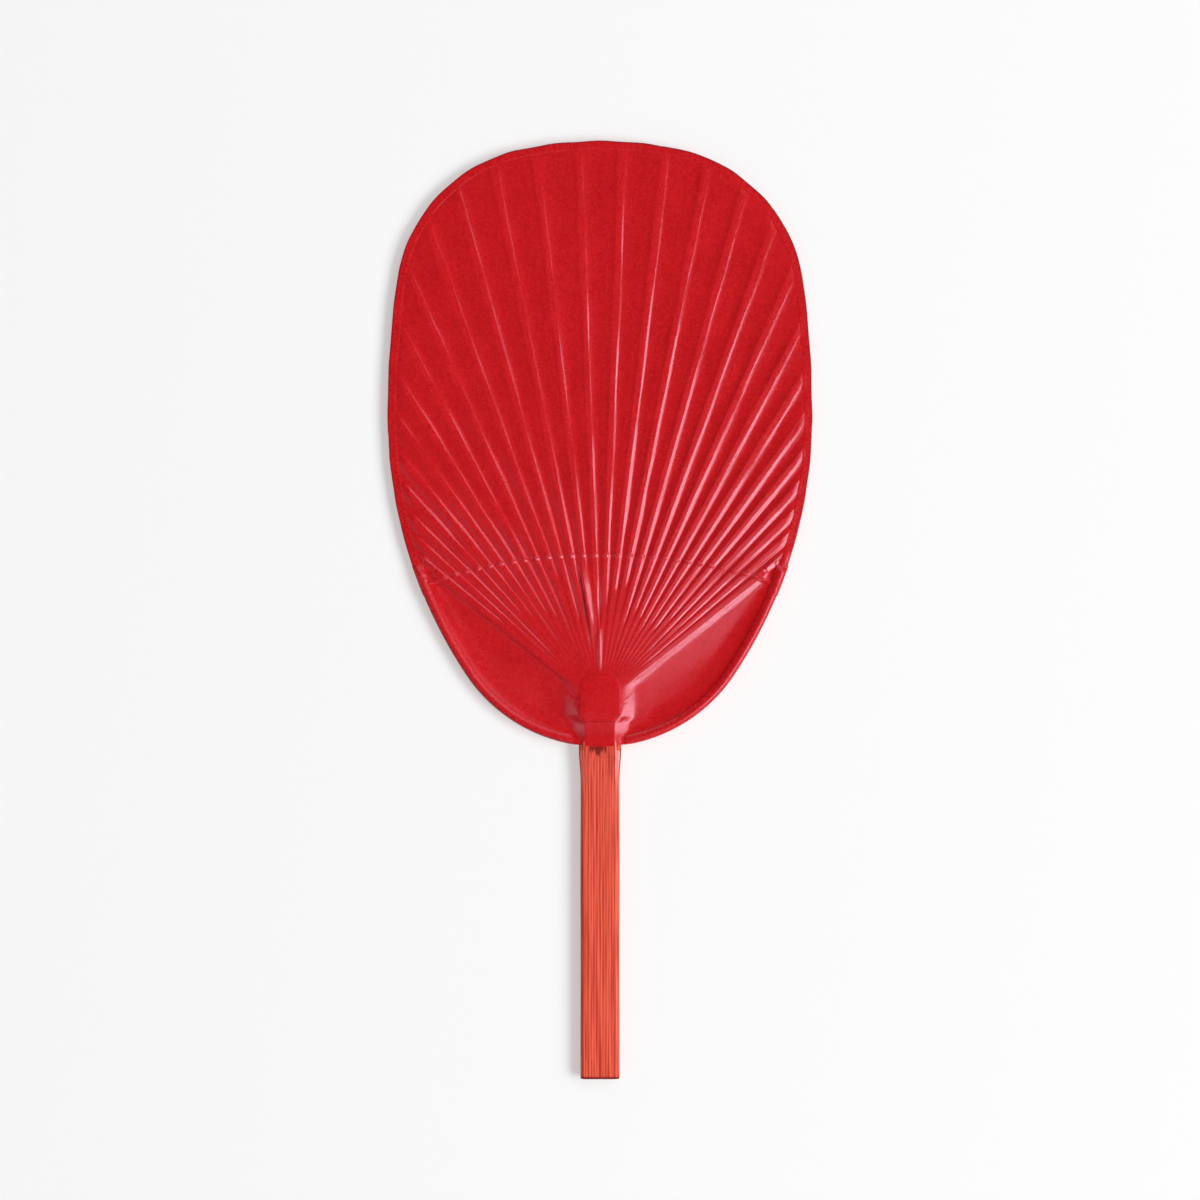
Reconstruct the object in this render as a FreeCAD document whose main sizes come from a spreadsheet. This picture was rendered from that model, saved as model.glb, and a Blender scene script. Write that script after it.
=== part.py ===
import FreeCAD, Part
import Sketcher
import math
import os

from FreeCAD import Vector

# Flat-handled paper fan, lying on its back: the handle points to -Y, the tip of the blade to +Y and the
# front faces +Z. The pieces are drawn about the neck, with Y = 0 at the bottom of the blade and Z = 0
# midway between the two papers. One placement then stands every piece on the surface under the fan.

SIZES = [
    # Blade outline: five arcs a side, each tangent to the next
    ("blade_length", 232.7, "bottom of the blade to its tip"),
    ("blade_width", 163.2, "across the widest part"),
    ("widest_height", 127.2, "height of the widest part over the bottom of the blade"),
    ("top_radius", 141.6, "flat arc of the tip"),
    ("corner_radius", 60.4, "arc that turns the tip into the side"),
    ("side_radius", 380.0, "long arc of the upper side"),
    ("lobe_radius", 61.8, "round bottom of the blade"),
    # Handle and neck
    ("grip_length", 127.3, "butt of the handle to the bottom of the blade"),
    ("grip_width", 14.9, "across the handle"),
    ("grip_thickness", 4.8, "front to back"),
    ("grip_bevel", 1.3, "flat along each long edge"),
    ("butt_bevel", 0.6, "edge taken off the saw cut of the butt"),
    ("neck_width", 16.2, "across the swollen node of the bamboo"),
    ("neck_bevel", 2.4, "flat along each edge of the node"),
    ("bevel_end", 9.0, "height at which the flats of the node begin to run out"),
    ("shoulder_bevel", 0.3, "what is left of them where the node ends"),
    ("neck_thickness", 5.8, "front to back at the node"),
    ("neck_drop", 8.0, "how far the node reaches below the blade"),
    ("neck_taper", 6.0, "length over which the node runs out into the handle"),
    ("neck_rise", 13.0, "how far the full thickness reaches up into the blade"),
    # Ribs, split from the same bamboo above the neck
    ("rib_count", 28, "ribs, the two outer guards among them"),
    ("fan_centre", 17.1, "height of the point that the ribs spread from"),
    ("shoulder_reach", 14.0, "unsplit bamboo above the fan centre"),
    ("shoulder_width", 22.0, "across the unsplit bamboo at its top"),
    ("rib_root_width", 0.6, "rib at the shoulder"),
    ("rib_tip_width", 2.4, "rib at the tip of the blade"),
    ("guard_width", 2.0, "the two outer ribs"),
    ("guard_reach", 80.0, "blunt end of an outer rib, just past the thread, from the fan centre"),
    ("rib_root_thickness", 2.6, "rib at the shoulder, front to back"),
    ("rib_tip_thickness", 1.0, "rib at the tip of the blade, front to back"),
    # Bow, bent through the neck into the lower rim
    ("bow_diameter", 2.6, "shaved bamboo rod, across its flats"),
    ("bow_clearance", 0.05, "play of the bow in its hole"),
    ("bow_tip", 2.6, "bow past the tie"),
    ("notch_depth", 0.6, "groove that holds the tie"),
    # Thread, woven over and under the ribs
    ("thread_height", 73.7, "height of the thread on the middle line"),
    ("thread_radius", 207.0, "gentle arc of the thread"),
    ("ear_gap", 8.1, "outer rib to the tie, along the thread"),
    ("thread_diameter", 0.4, "cotton thread"),
    ("thread_gap", 0.06, "between the two passes of the thread"),
    ("thread_slack", 0.06, "between a rib and the thread over it"),
    # Papers and trim
    ("paper_thickness", 0.25, "each sheet"),
    ("paper_clearance", 0.05, "between the sheet and the side of what it covers"),
    ("paste_gap", 0.03, "paste between the layers wrapped round the bow"),
    ("edge_trim", 0.1, "paper cut back from the fold of the edging"),
    ("rib_tent_run", 0.6, "slope of the paper beside a rib, run over rise"),
    ("guard_tent_run", 2.5, "slope of the paper from an outer rib down to the lobe, run over rise"),
    ("neck_tent_run", 1.5, "slope of the paper beside the neck, run over rise"),
    ("strip_width", 3.6, "edging on each face of the tip"),
    ("strip_thickness", 0.15, "edging paper"),
    ("strip_gap", 0.2, "flat paper between the edging and the rib ends"),
    ("bow_strip_width", 2.6, "edging on each face of the bow"),
    ("ear_patch_length", 8.0, "along the bow"),
    ("ear_patch_width", 3.0, "on each face"),
    ("patch_thickness", 0.2, "neck patch"),
    ("patch_width", 15.8, "across the neck patch"),
    ("patch_foot_width", 11.4, "across its lower edge"),
    ("patch_bottom", 9.6, "height of its lower edge"),
    ("patch_corner", 2.5, "height of its cut corners"),
    ("patch_top", 29.7, "height of its round top"),
]

doc = FreeCAD.newDocument("uchiwa_fan")
sheet = doc.addObject("Spreadsheet::Sheet", "Sizes")
for row, (alias, value, note) in enumerate(SIZES, start=1):
    sheet.set(f"A{row}", alias)
    sheet.set(f"B{row}", str(value))
    sheet.setAlias(f"B{row}", alias)
    sheet.set(f"C{row}", note)
doc.recompute()
size = {alias: float(sheet.get(alias)) for alias, value, note in SIZES}

UP = Vector(0, 0, 1)
ACROSS = Vector(1, 0, 0)

# Sizes that follow from the sheet
PAPER = size["paper_thickness"]
BOW_RADIUS = size["bow_diameter"] / 2
THREAD_RADIUS = size["thread_diameter"] / 2
BOW_HOLLOW = BOW_RADIUS + size["paste_gap"]
BOW_COVER = BOW_HOLLOW + PAPER
STRIP_INNER = BOW_COVER + size["paste_gap"]
BOW_INSET = STRIP_INNER + size["strip_thickness"]
PAPER_INSET = size["strip_thickness"] + size["edge_trim"]
RIB_SETBACK = size["strip_width"] + size["strip_gap"] + PAPER
SHOULDER_TOP = size["fan_centre"] + size["shoulder_reach"]
RIB_REACH = size["blade_length"] - size["fan_centre"]
NECK_HALF = size["neck_thickness"] / 2
ROOT_HALF = size["rib_root_thickness"] / 2
TIP_HALF = size["rib_tip_thickness"] / 2
LAST_RIB = (size["rib_count"] - 1) / 2

# Overhang of the solids that only trim others
MARGIN = size["neck_drop"]

# Ribs and their paper begin inside the shoulder, at these shares of its reach. The sides of a tent stop
# short of the edge where they would meet.
STRIP_START = 0.5
TENT_START = 0.8
TENT_RISE = 0.95

# Flats of the shaved bow and of the papers folded over it, and sides of the thread
BOW_FLATS = 8
THREAD_SIDES = 6

# Where the fan stands: its middle over the origin, the back neck patch on the surface
MIDDLE = "(Sizes.blade_length - Sizes.grip_length) / 2"
LIFT = "Sizes.neck_thickness / 2 + Sizes.paper_thickness + Sizes.patch_thickness"


def point(centre, radius, angle, height=0.0):
    """Point on a circle about a plan centre, its angle in radians from +X."""
    return centre + Vector(radius * math.cos(angle), radius * math.sin(angle), height)


def plan_angle(vector):
    return math.atan2(vector.y, vector.x)


def circles_meet(first, first_radius, second, second_radius):
    """The upper point where two circles cross."""
    apart = second - first
    distance = apart.Length
    along = (first_radius ** 2 - second_radius ** 2 + distance ** 2) / (2 * distance)
    aside = math.sqrt(first_radius ** 2 - along ** 2)
    unit = apart / distance
    middle = first + unit * along
    normal = Vector(-unit.y, unit.x, 0) * aside
    return max((middle + normal, middle - normal), key=lambda place: place.y)


def blade_arcs():
    """Right half of the outline, tip to bottom: a centre, a radius and two end angles for each arc."""
    half = size["blade_width"] / 2
    lobe_radius = size["lobe_radius"]
    drop = size["widest_height"] - lobe_radius
    flank_radius = (drop ** 2 + half ** 2 - lobe_radius ** 2) / (2 * (half - lobe_radius))
    top = Vector(0, size["blade_length"] - size["top_radius"], 0)
    side = Vector(half - size["side_radius"], size["widest_height"], 0)
    flank = Vector(half - flank_radius, size["widest_height"], 0)
    lobe = Vector(0, lobe_radius, 0)
    corner_radius = size["corner_radius"]
    corner = circles_meet(top, size["top_radius"] - corner_radius, side, size["side_radius"] - corner_radius)
    top_end = plan_angle(corner - top)
    side_start = plan_angle(corner - side)
    flank_end = plan_angle(lobe - flank)
    return {
        "top": (top, size["top_radius"], math.pi / 2, top_end),
        "corner": (corner, corner_radius, top_end, side_start),
        "side": (side, size["side_radius"], side_start, 0.0),
        "flank": (flank, flank_radius, 0.0, flank_end),
        "lobe": (lobe, lobe_radius, flank_end, -math.pi / 2),
    }


ARCS = blade_arcs()


# Bow: its path is the lower rim, as far inside the outline as its own radius, the paper and the edging
FLANK_CENTRE, FLANK_RADIUS, _, FLANK_END = ARCS["flank"]
LOBE_CENTRE, LOBE_RADIUS, LOBE_START, LOBE_END = ARCS["lobe"]
BOW_FLANK = FLANK_RADIUS - BOW_INSET
BOW_LOBE = LOBE_RADIUS - BOW_INSET

# Thread: an arc from tie to tie, with the ribs evenly spaced along it, tied where it meets the bow
THREAD_CENTRE = Vector(0, size["thread_height"] - size["thread_radius"], 0)
NOTCH = circles_meet(FLANK_CENTRE, BOW_FLANK, THREAD_CENTRE, size["thread_radius"])
NOTCH_ANGLE = plan_angle(NOTCH - FLANK_CENTRE)
TIP_ANGLE = NOTCH_ANGLE + size["bow_tip"] / BOW_FLANK
THREAD_REACH = size["thread_radius"] * math.asin(NOTCH.x / size["thread_radius"])
PITCH = (THREAD_REACH - size["ear_gap"]) / LAST_RIB
THREAD_ROW = (size["thread_diameter"] + size["thread_gap"]) / 2
THREAD_CREST = THREAD_ROW + THREAD_RADIUS + size["paper_clearance"]


def mirrored(shape, normal=ACROSS):
    return shape.mirror(Vector(), normal)


def outline_prism(inset, low, high):
    """Blade outline moved inwards, as a solid between two heights."""
    right = []
    for centre, radius, start, end in ARCS.values():
        places = [point(centre, radius - inset, start + (end - start) * share) for share in (0, 0.5, 1)]
        right.append(Part.Arc(*places).toShape())
    left = [mirrored(edge) for edge in right]
    face = Part.Face(Part.Wire(Part.__sortEdges__(right + left)))
    face.translate(UP * low)
    return face.extrude(UP * (high - low))


def solid_of(loops):
    """Solid bounded by flat polygons."""
    faces = [Part.Face(Part.makePolygon(loop + loop[:1])) for loop in loops]
    solid = Part.Solid(Part.Shell(faces))
    if solid.Volume < 0:
        solid.reverse()
    return solid


def polyhedron(lower, upper):
    """Solid between two polygons with as many corners each."""
    loops = [lower, upper]
    count = len(lower)
    for here in range(count):
        after = (here + 1) % count
        loops.append([lower[here], lower[after], upper[after], upper[here]])
    return solid_of(loops)


def slope_gap(run):
    """Sideways distance between the two faces of a sheet that lies at this slope."""
    return PAPER * math.sqrt(1 + run ** 2)


def half_height(along):
    """Half thickness of shoulder and ribs at this height of the blade."""
    if along < SHOULDER_TOP:
        share = (along - size["neck_rise"]) / (SHOULDER_TOP - size["neck_rise"])
        return NECK_HALF + (ROOT_HALF - NECK_HALF) * share
    share = (along - SHOULDER_TOP) / (size["blade_length"] - SHOULDER_TOP)
    return ROOT_HALF + (TIP_HALF - ROOT_HALF) * share


def roof(lift, both_sides=False):
    """Everything under the side view of neck, shoulder and ribs, raised by lift."""
    far = size["blade_length"] + MARGIN
    crest = [
        (-MARGIN, NECK_HALF + lift),
        (size["neck_rise"], NECK_HALF + lift),
        (SHOULDER_TOP, ROOT_HALF + lift),
        (far, half_height(far) + lift),
    ]
    floor = [(along, -height if both_sides else 0) for along, height in reversed(crest)]
    corners = crest + (floor if both_sides else [floor[0], floor[-1]])
    reach = size["blade_width"]
    places = [Vector(-reach, along, height) for along, height in corners]
    return Part.Face(Part.makePolygon(places + places[:1])).extrude(ACROSS * (2 * reach))


class Rib:
    """One rib: its direction from the fan centre, its width, and where the thread crosses it."""

    def __init__(self, index):
        self.steps = index - LAST_RIB
        self.guard = abs(self.steps) == LAST_RIB
        self.crossing = thread_point(self.steps * PITCH)
        spoke = self.crossing - Vector(0, size["fan_centre"], 0)
        self.angle = math.atan2(spoke.x, spoke.y)
        self.thread_reach = spoke.Length
        self.skew = self.angle - self.steps * PITCH / size["thread_radius"]
        self.end = size["guard_reach"] if self.guard else RIB_REACH

    def half_width(self, reach):
        if self.guard:
            return size["guard_width"] / 2
        share = (reach - size["shoulder_reach"]) / (RIB_REACH - size["shoulder_reach"])
        return (size["rib_root_width"] + (size["rib_tip_width"] - size["rib_root_width"]) * share) / 2

    def place(self, reach, aside, height=0.0):
        """Point at this distance from the fan centre and this far to the right of the rib's middle."""
        sine, cosine = math.sin(self.angle), math.cos(self.angle)
        across = reach * sine + aside * cosine
        along = size["fan_centre"] + reach * cosine - aside * sine
        return Vector(across, along, height)

    def ring(self, reaches, sides, heights):
        """Four corners of a strip along the rib, from reach, two sides and height of both ends."""
        (start, end), (first, last), (low, high) = reaches, sides, heights
        corners = [(start, -first[0], low), (end, -last[0], high), (end, last[1], high), (start, first[1], low)]
        return [self.place(*corner) for corner in corners]

    def half_height(self, reach):
        return half_height(size["fan_centre"] + reach * math.cos(self.angle))

    def hold(self):
        """Half the length of thread that lies flat across the rib."""
        return (self.half_width(self.thread_reach) + size["paper_clearance"]) / math.cos(self.skew)

    def thread_level(self):
        """Height of the thread's middle where it lies on the rib."""
        return self.half_height(self.thread_reach) + size["thread_slack"] + THREAD_RADIUS

    def tent_runs(self):
        """Slopes of the paper to the left and to the right of the rib."""
        run, gentle = size["rib_tent_run"], size["guard_tent_run"]
        if not self.guard:
            return run, run
        return (gentle, run) if self.steps < 0 else (run, gentle)


def thread_point(arc_length):
    """Point of the thread's arc at this distance from the middle line."""
    turn = arc_length / size["thread_radius"]
    return point(THREAD_CENTRE, size["thread_radius"], math.pi / 2 - turn)


RIBS = [Rib(index) for index in range(int(size["rib_count"]))]


def rib_strip(rib):
    """Flat tapered strip of bamboo, as thick as the neck until the roof thins it."""
    reaches = (size["shoulder_reach"] * STRIP_START, rib.end)
    sides = [[rib.half_width(reach)] * 2 for reach in reaches]
    ring = rib.ring(reaches, sides, [-NECK_HALF] * 2)
    return Part.Face(Part.makePolygon(ring + ring[:1])).extrude(UP * size["neck_thickness"])


def rib_tent(rib, sheet_thickness):
    """Paper pitched over one rib, taller than the roof that cuts it; with no sheet, the hollow inside."""
    reaches = (size["shoulder_reach"] * TENT_START, rib.end + size["paper_clearance"] + sheet_thickness)
    runs = rib.tent_runs()
    feet = []
    for reach in reaches:
        crest = rib.half_width(reach) + size["paper_clearance"]
        share = sheet_thickness / PAPER
        feet.append([crest + rib.half_height(reach) * run + slope_gap(run) * share for run in runs])
    heights = [TENT_RISE * sum(sides) / sum(runs) for sides in feet]
    tops = [[foot - height * run for foot, run in zip(sides, runs)] for sides, height in zip(feet, heights)]
    return polyhedron(rib.ring(reaches, feet, (0, 0)), rib.ring(reaches, tops, heights))


def thread_run(rib, side):
    """Slope of the thread from one rib to the next on this side, run over rise."""
    here = RIBS.index(rib)
    other = here + side
    if other < 0 or other == len(RIBS):
        other = here - side
    after = RIBS[other]
    return (PITCH - rib.hold() - after.hold()) / (rib.thread_level() + after.thread_level())


def thread_tent(rib, sheet_thickness):
    """Bump of the paper over the thread on one rib; with no sheet it is the hollow inside."""
    run = size["rib_tent_run"]
    cover = THREAD_RADIUS + size["paper_clearance"]
    height = rib.thread_level() + cover + sheet_thickness
    share = sheet_thickness / PAPER
    top_along = THREAD_CREST + share * (slope_gap(run) - PAPER * run)
    flat = rib.hold() + cover + THREAD_ROW * abs(math.tan(rib.skew))
    side_runs = [thread_run(rib, side) for side in (-1, 1)]
    tops = [flat + share * (slope_gap(aside_run) - PAPER * aside_run) for aside_run in side_runs]
    outwards = (rib.crossing - THREAD_CENTRE).normalize()
    onwards = Vector(outwards.y, -outwards.x, 0)
    rings = []
    for drop in (height, 0):
        out = outwards * (top_along + drop * run)
        left, right = [onwards * (top + drop * aside_run) for top, aside_run in zip(tops, side_runs)]
        middle = rib.crossing + UP * (height - drop)
        rings.append([middle - out - left, middle - out + right, middle + out + right, middle + out - left])
    return polyhedron(*rings)


def flat_section(centre, apothem, outwards, upper_half):
    """Section across the bow, with flats to its sides, top and bottom, or the upper half of it."""
    corner = apothem / math.cos(math.pi / BOW_FLATS)
    turns = [(step + 0.5) * 2 * math.pi / BOW_FLATS for step in range(BOW_FLATS)]
    if upper_half:
        turns = turns[:BOW_FLATS // 2]
    places = [centre + outwards * (corner * math.cos(turn)) + UP * (corner * math.sin(turn)) for turn in turns]
    if upper_half:
        places = [centre + outwards * apothem] + places + [centre - outwards * apothem]
    return Part.Face(Part.makePolygon(places + places[:1]))


def turned(centre, radius, start, end, apothem, bore=0.0, upper_half=False):
    """Rod bent about a plan centre, from one angle to another, or a wrap with a bore."""
    place = point(centre, radius, start)
    outwards = point(Vector(), 1, start)
    section = flat_section(place, apothem, outwards, upper_half)
    if bore:
        section = section.cut(flat_section(place, bore, outwards, upper_half)).Faces[0]
    solid = section.revolve(centre, UP, math.degrees(end - start))
    if solid.Volume < 0:
        solid.reverse()
    return solid


def half_rim(start, apothem, bore=0.0, upper_half=False):
    """Rod or wrap along the right half of the lower rim, from an angle on the flank down to the middle line."""
    flank = turned(FLANK_CENTRE, BOW_FLANK, start, FLANK_END, apothem, bore, upper_half)
    lobe = turned(LOBE_CENTRE, BOW_LOBE, LOBE_START, LOBE_END, apothem, bore, upper_half)
    return flank.fuse(lobe)


def rim_rod(start, apothem, upper_half=False):
    right = half_rim(start, apothem, 0.0, upper_half)
    return right.fuse(mirrored(right)).removeSplitter()


def grown(corners, distance):
    """Plan polygon, drawn anticlockwise, with every side moved outwards."""
    count = len(corners)
    lines = []
    for here in range(count):
        start, end = corners[here], corners[(here + 1) % count]
        unit = (end - start).normalize()
        lines.append((start + Vector(unit.y, -unit.x, 0) * distance, unit))
    places = []
    for here in range(count):
        (origin, before), (other, after) = lines[here - 1], lines[here]
        turn = before.x * after.y - before.y * after.x
        gap = other - origin
        places.append(origin + before * ((gap.x * after.y - gap.y * after.x) / turn))
    return places


def neck_tent(sheet_thickness):
    """Paper pitched over neck and shoulder; with no sheet, the hollow inside."""
    run = size["neck_tent_run"]
    height = NECK_HALF + PAPER
    neck, shoulder = size["neck_width"] / 2, size["shoulder_width"] / 2
    flat = neck - size["neck_bevel"]
    right = [(flat, -MARGIN), (flat, size["bevel_end"]), (neck, size["neck_rise"]), (shoulder, SHOULDER_TOP)]
    left = [(-across, along) for across, along in reversed(right)]
    block = [Vector(across, along, 0) for across, along in right + left]
    crest = size["paper_clearance"] - PAPER * run + slope_gap(run) * sheet_thickness / PAPER
    lower = grown(block, crest + height * run)
    upper = [place + UP * height for place in grown(block, crest)]
    return polyhedron(lower, upper)


# Thread tied in the groove of the bow: its turn has a corner every eighth of a round
TIE_CORE = BOW_RADIUS - size["notch_depth"]
TIE_STEP = math.pi / 4
TIE_CORNERS = round(math.pi / TIE_STEP) + 1
TIE_RADIUS = (TIE_CORE + THREAD_RADIUS + size["paste_gap"]) / math.cos(TIE_STEP / 2)


def ear_tent(sheet_thickness):
    """Paper over the thread's last run, from the right guard to the bow; with no sheet, the hollow inside."""
    run = size["rib_tent_run"]
    guard = RIBS[-1]
    along = NOTCH - guard.crossing
    length = along.Length
    unit = along / length
    aside = Vector(-unit.y, unit.x, 0)
    share = sheet_thickness / PAPER
    half_top = THREAD_CREST + share * (slope_gap(run) - PAPER * run)
    cover = THREAD_RADIUS + size["paper_clearance"] + sheet_thickness
    heights = [level + cover for level in (guard.thread_level(), TIE_RADIUS)]
    lower, upper = [], []
    for distance, height, sides in ((0, heights[0], (1, -1)), (length, heights[1], (-1, 1))):
        for side in sides:
            place = guard.crossing + unit * distance
            lower.append(place + aside * (side * (half_top + height * run)))
            upper.append(place + aside * (side * half_top) + UP * height)
    return polyhedron(lower, upper)


def front_sheet():
    """Front paper: the outside of all its tents on a flat sheet, less the hollows under them."""
    rib_ends = RIB_SETBACK - size["paper_clearance"]
    flat = outline_prism(PAPER_INSET, 0, PAPER)
    cover = outline_prism(PAPER_INSET, 0, NECK_HALF + PAPER)
    pitched = rib_tent(RIBS[0], PAPER).multiFuse([rib_tent(rib, PAPER) for rib in RIBS[1:]])
    pitched = pitched.common(outline_prism(rib_ends - PAPER, 0, NECK_HALF + PAPER))
    neck = neck_tent(PAPER).common(cover)
    over_bamboo = pitched.fuse(neck).common(roof(PAPER))
    ears = [ear_tent(PAPER), mirrored(ear_tent(PAPER))]
    bumps = [thread_tent(rib, PAPER) for rib in RIBS]
    hollow_end = TIP_ANGLE + size["paste_gap"] / BOW_FLANK
    tube = rim_rod(hollow_end + PAPER / BOW_FLANK, BOW_COVER, True)
    outside = flat.multiFuse([over_bamboo, tube] + ears + bumps)
    hollow = rib_tent(RIBS[0], 0).multiFuse([rib_tent(rib, 0) for rib in RIBS[1:]])
    hollow = hollow.common(outline_prism(rib_ends, 0, NECK_HALF + PAPER))
    hollow = hollow.fuse(neck_tent(0)).common(roof(0))
    ear_hollows = [ear_tent(0), mirrored(ear_tent(0))]
    bump_hollows = [thread_tent(rib, 0) for rib in RIBS]
    rod = rim_rod(hollow_end, BOW_HOLLOW)
    inside = [hollow, rod] + ear_hollows + bump_hollows
    return outside.cut(inside).removeSplitter()


def feature(name, shape):
    """Document object that holds a shape worked out from the sheet."""
    item = doc.addObject("Part::Feature", name)
    item.Shape = shape
    return item


def cut(name, base, tool):
    item = doc.addObject("Part::Cut", name)
    item.Base = base
    item.Tool = tool
    return item


def fused(name, shapes):
    item = doc.addObject("Part::MultiFuse", name)
    item.Shapes = shapes
    return item


def mirror_of(name, source, normal):
    """The same piece on the other side of the fan's middle plane."""
    item = doc.addObject("Part::Mirroring", name)
    item.Source = source
    item.Normal = normal
    item.setExpression("Base.z", LIFT)
    return item


def bevelled_section(body, name, along, width, thickness, bevel):
    """Sketch of a bevelled rectangle across the handle; its place and sizes are expressions."""
    sketch = body.newObject("Sketcher::SketchObject", name)
    plane = [item for item in body.Origin.OriginFeatures if item.Role == "XZ_Plane"][0]
    sketch.AttachmentSupport = [(plane, "")]
    sketch.MapMode = "FlatFace"
    sketch.setExpression("AttachmentOffset.Base.z", f"-({along})")
    outer = [f"({width}) / 2", f"({thickness}) / 2"]
    inner = [f"({width}) / 2 - ({bevel})", f"({thickness}) / 2 - ({bevel})"]
    quarter = [(outer[0], inner[1]), (inner[0], outer[1])]
    corners = []
    for right, upper in ((1, 1), (-1, 1), (-1, -1), (1, -1)):
        turn = quarter if right == upper else quarter[::-1]
        corners += [(f"{right} * ({across})", f"{upper} * ({height})") for across, height in turn]
    places = [Vector(*[float(sheet.evalExpression(text)) for text in corner], 0) for corner in corners]
    count = len(places)
    for here in range(count):
        sketch.addGeometry(Part.LineSegment(places[here], places[(here + 1) % count]))
    for here in range(count):
        sketch.addConstraint(Sketcher.Constraint("Coincident", here, 2, (here + 1) % count, 1))
    for here, corner in enumerate(corners):
        for kind, text, value in zip(("DistanceX", "DistanceY"), corner, places[here]):
            number = sketch.addConstraint(Sketcher.Constraint(kind, -1, 1, here, 1, value))
            sketch.setExpression(f"Constraints[{number}]", text)
    return sketch


def pad(body, name, sketch, length):
    item = body.newObject("PartDesign::Pad", name)
    item.Profile = sketch
    item.setExpression("Length", length)
    return item


def ruled_loft(body, name, first, last):
    item = body.newObject("PartDesign::AdditiveLoft", name)
    item.Profile = first
    item.Sections = [last]
    item.Ruled = True
    return item


def handle_body():
    """Handle, node and shoulder of the bamboo, with the hole that the bow goes through."""
    body = doc.addObject("PartDesign::Body", "handle_body")
    grip = ("Sizes.grip_width", "Sizes.grip_thickness", "Sizes.grip_bevel")
    cut_back = "2 * Sizes.butt_bevel"
    butt = (f"Sizes.grip_width - {cut_back}", f"Sizes.grip_thickness - {cut_back}", "Sizes.grip_bevel")
    node = ("Sizes.neck_width", "Sizes.neck_thickness", "Sizes.neck_bevel")
    node_top = ("Sizes.neck_width", "Sizes.neck_thickness", "Sizes.shoulder_bevel")
    thinned = "Sizes.shoulder_bevel * Sizes.rib_root_thickness / Sizes.neck_thickness"
    shoulder = ("Sizes.shoulder_width", "Sizes.rib_root_thickness", thinned)
    grip_low = "-Sizes.grip_length + Sizes.butt_bevel"
    grip_top = "-Sizes.neck_drop - Sizes.neck_taper"
    grip_section = bevelled_section(body, "grip_section", grip_top, *grip)
    pad(body, "grip", grip_section, f"({grip_top}) - ({grip_low})")
    grip_end = bevelled_section(body, "grip_end_section", grip_low, *grip)
    butt_section = bevelled_section(body, "butt_section", "-Sizes.grip_length", *butt)
    ruled_loft(body, "butt", grip_end, butt_section)
    node_low = bevelled_section(body, "node_low_section", "-Sizes.neck_drop", *node)
    ruled_loft(body, "node_taper", grip_section, node_low)
    node_high = bevelled_section(body, "node_high_section", "Sizes.bevel_end", *node)
    pad(body, "node", node_high, "Sizes.bevel_end + Sizes.neck_drop")
    node_end = bevelled_section(body, "node_end_section", "Sizes.neck_rise", *node_top)
    ruled_loft(body, "bevel_run_out", node_high, node_end)
    top = bevelled_section(body, "shoulder_section", "Sizes.fan_centre + Sizes.shoulder_reach", *shoulder)
    ruled_loft(body, "shoulder", node_end, top)
    hole = body.newObject("Sketcher::SketchObject", "bow_hole_section")
    plane = [item for item in body.Origin.OriginFeatures if item.Role == "YZ_Plane"][0]
    hole.AttachmentSupport = [(plane, "")]
    hole.MapMode = "FlatFace"
    layers = "Sizes.paper_thickness + Sizes.strip_thickness + 2 * Sizes.paste_gap"
    inset = f"(Sizes.bow_diameter / 2 + {layers})"
    corner = f"Sizes.bow_diameter / (2 * cos(180 deg / {BOW_FLATS}))"
    sag = f"((Sizes.neck_width / 2) ^ 2 / (2 * (Sizes.lobe_radius - {inset})))"
    radius = f"{corner} + {sag} / 2 + Sizes.bow_clearance"
    height = f"{inset} + {sag} / 2"
    centre = Vector(float(sheet.evalExpression(height)), 0, 0)
    hole.addGeometry(Part.Circle(centre, UP, float(sheet.evalExpression(radius))))
    hole.addConstraint(Sketcher.Constraint("PointOnObject", 0, 3, -1))
    place = hole.addConstraint(Sketcher.Constraint("DistanceX", -1, 1, 0, 3, centre.x))
    hole.setExpression(f"Constraints[{place}]", height)
    bore = hole.addConstraint(Sketcher.Constraint("Radius", 0, float(sheet.evalExpression(radius))))
    hole.setExpression(f"Constraints[{bore}]", radius)
    drilled = body.newObject("PartDesign::Pocket", "bow_hole")
    drilled.Profile = hole
    drilled.SideType = "Symmetric"
    drilled.Type = "ThroughAll"
    body.Tip = drilled
    return body


def handle_with_ribs():
    strips = rib_strip(RIBS[0]).multiFuse([rib_strip(rib) for rib in RIBS[1:]])
    envelope = roof(0, both_sides=True).common(outline_prism(RIB_SETBACK, -NECK_HALF, NECK_HALF))
    ribs = doc.addObject("Part::Common", "ribs")
    ribs.Base = feature("rib_strips", strips)
    ribs.Tool = feature("rib_envelope", envelope)
    return fused("handle_with_ribs", [handle_body(), ribs])


def bow():
    """Bent rod with a groove near each tip for the thread."""
    width = 2 * THREAD_CREST + size["thread_diameter"]
    direction = Vector(-math.sin(NOTCH_ANGLE), math.cos(NOTCH_ANGLE), 0)
    start = NOTCH - direction * (width / 2)
    ring = Part.makeCylinder(size["bow_diameter"], width, start, direction)
    ring = ring.cut(Part.makeCylinder(TIE_CORE, width, start, direction))
    rod = feature("bow_rod", rim_rod(TIP_ANGLE, BOW_RADIUS))
    return cut("bow", rod, feature("bow_grooves", Part.makeCompound([ring, mirrored(ring)])))


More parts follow.
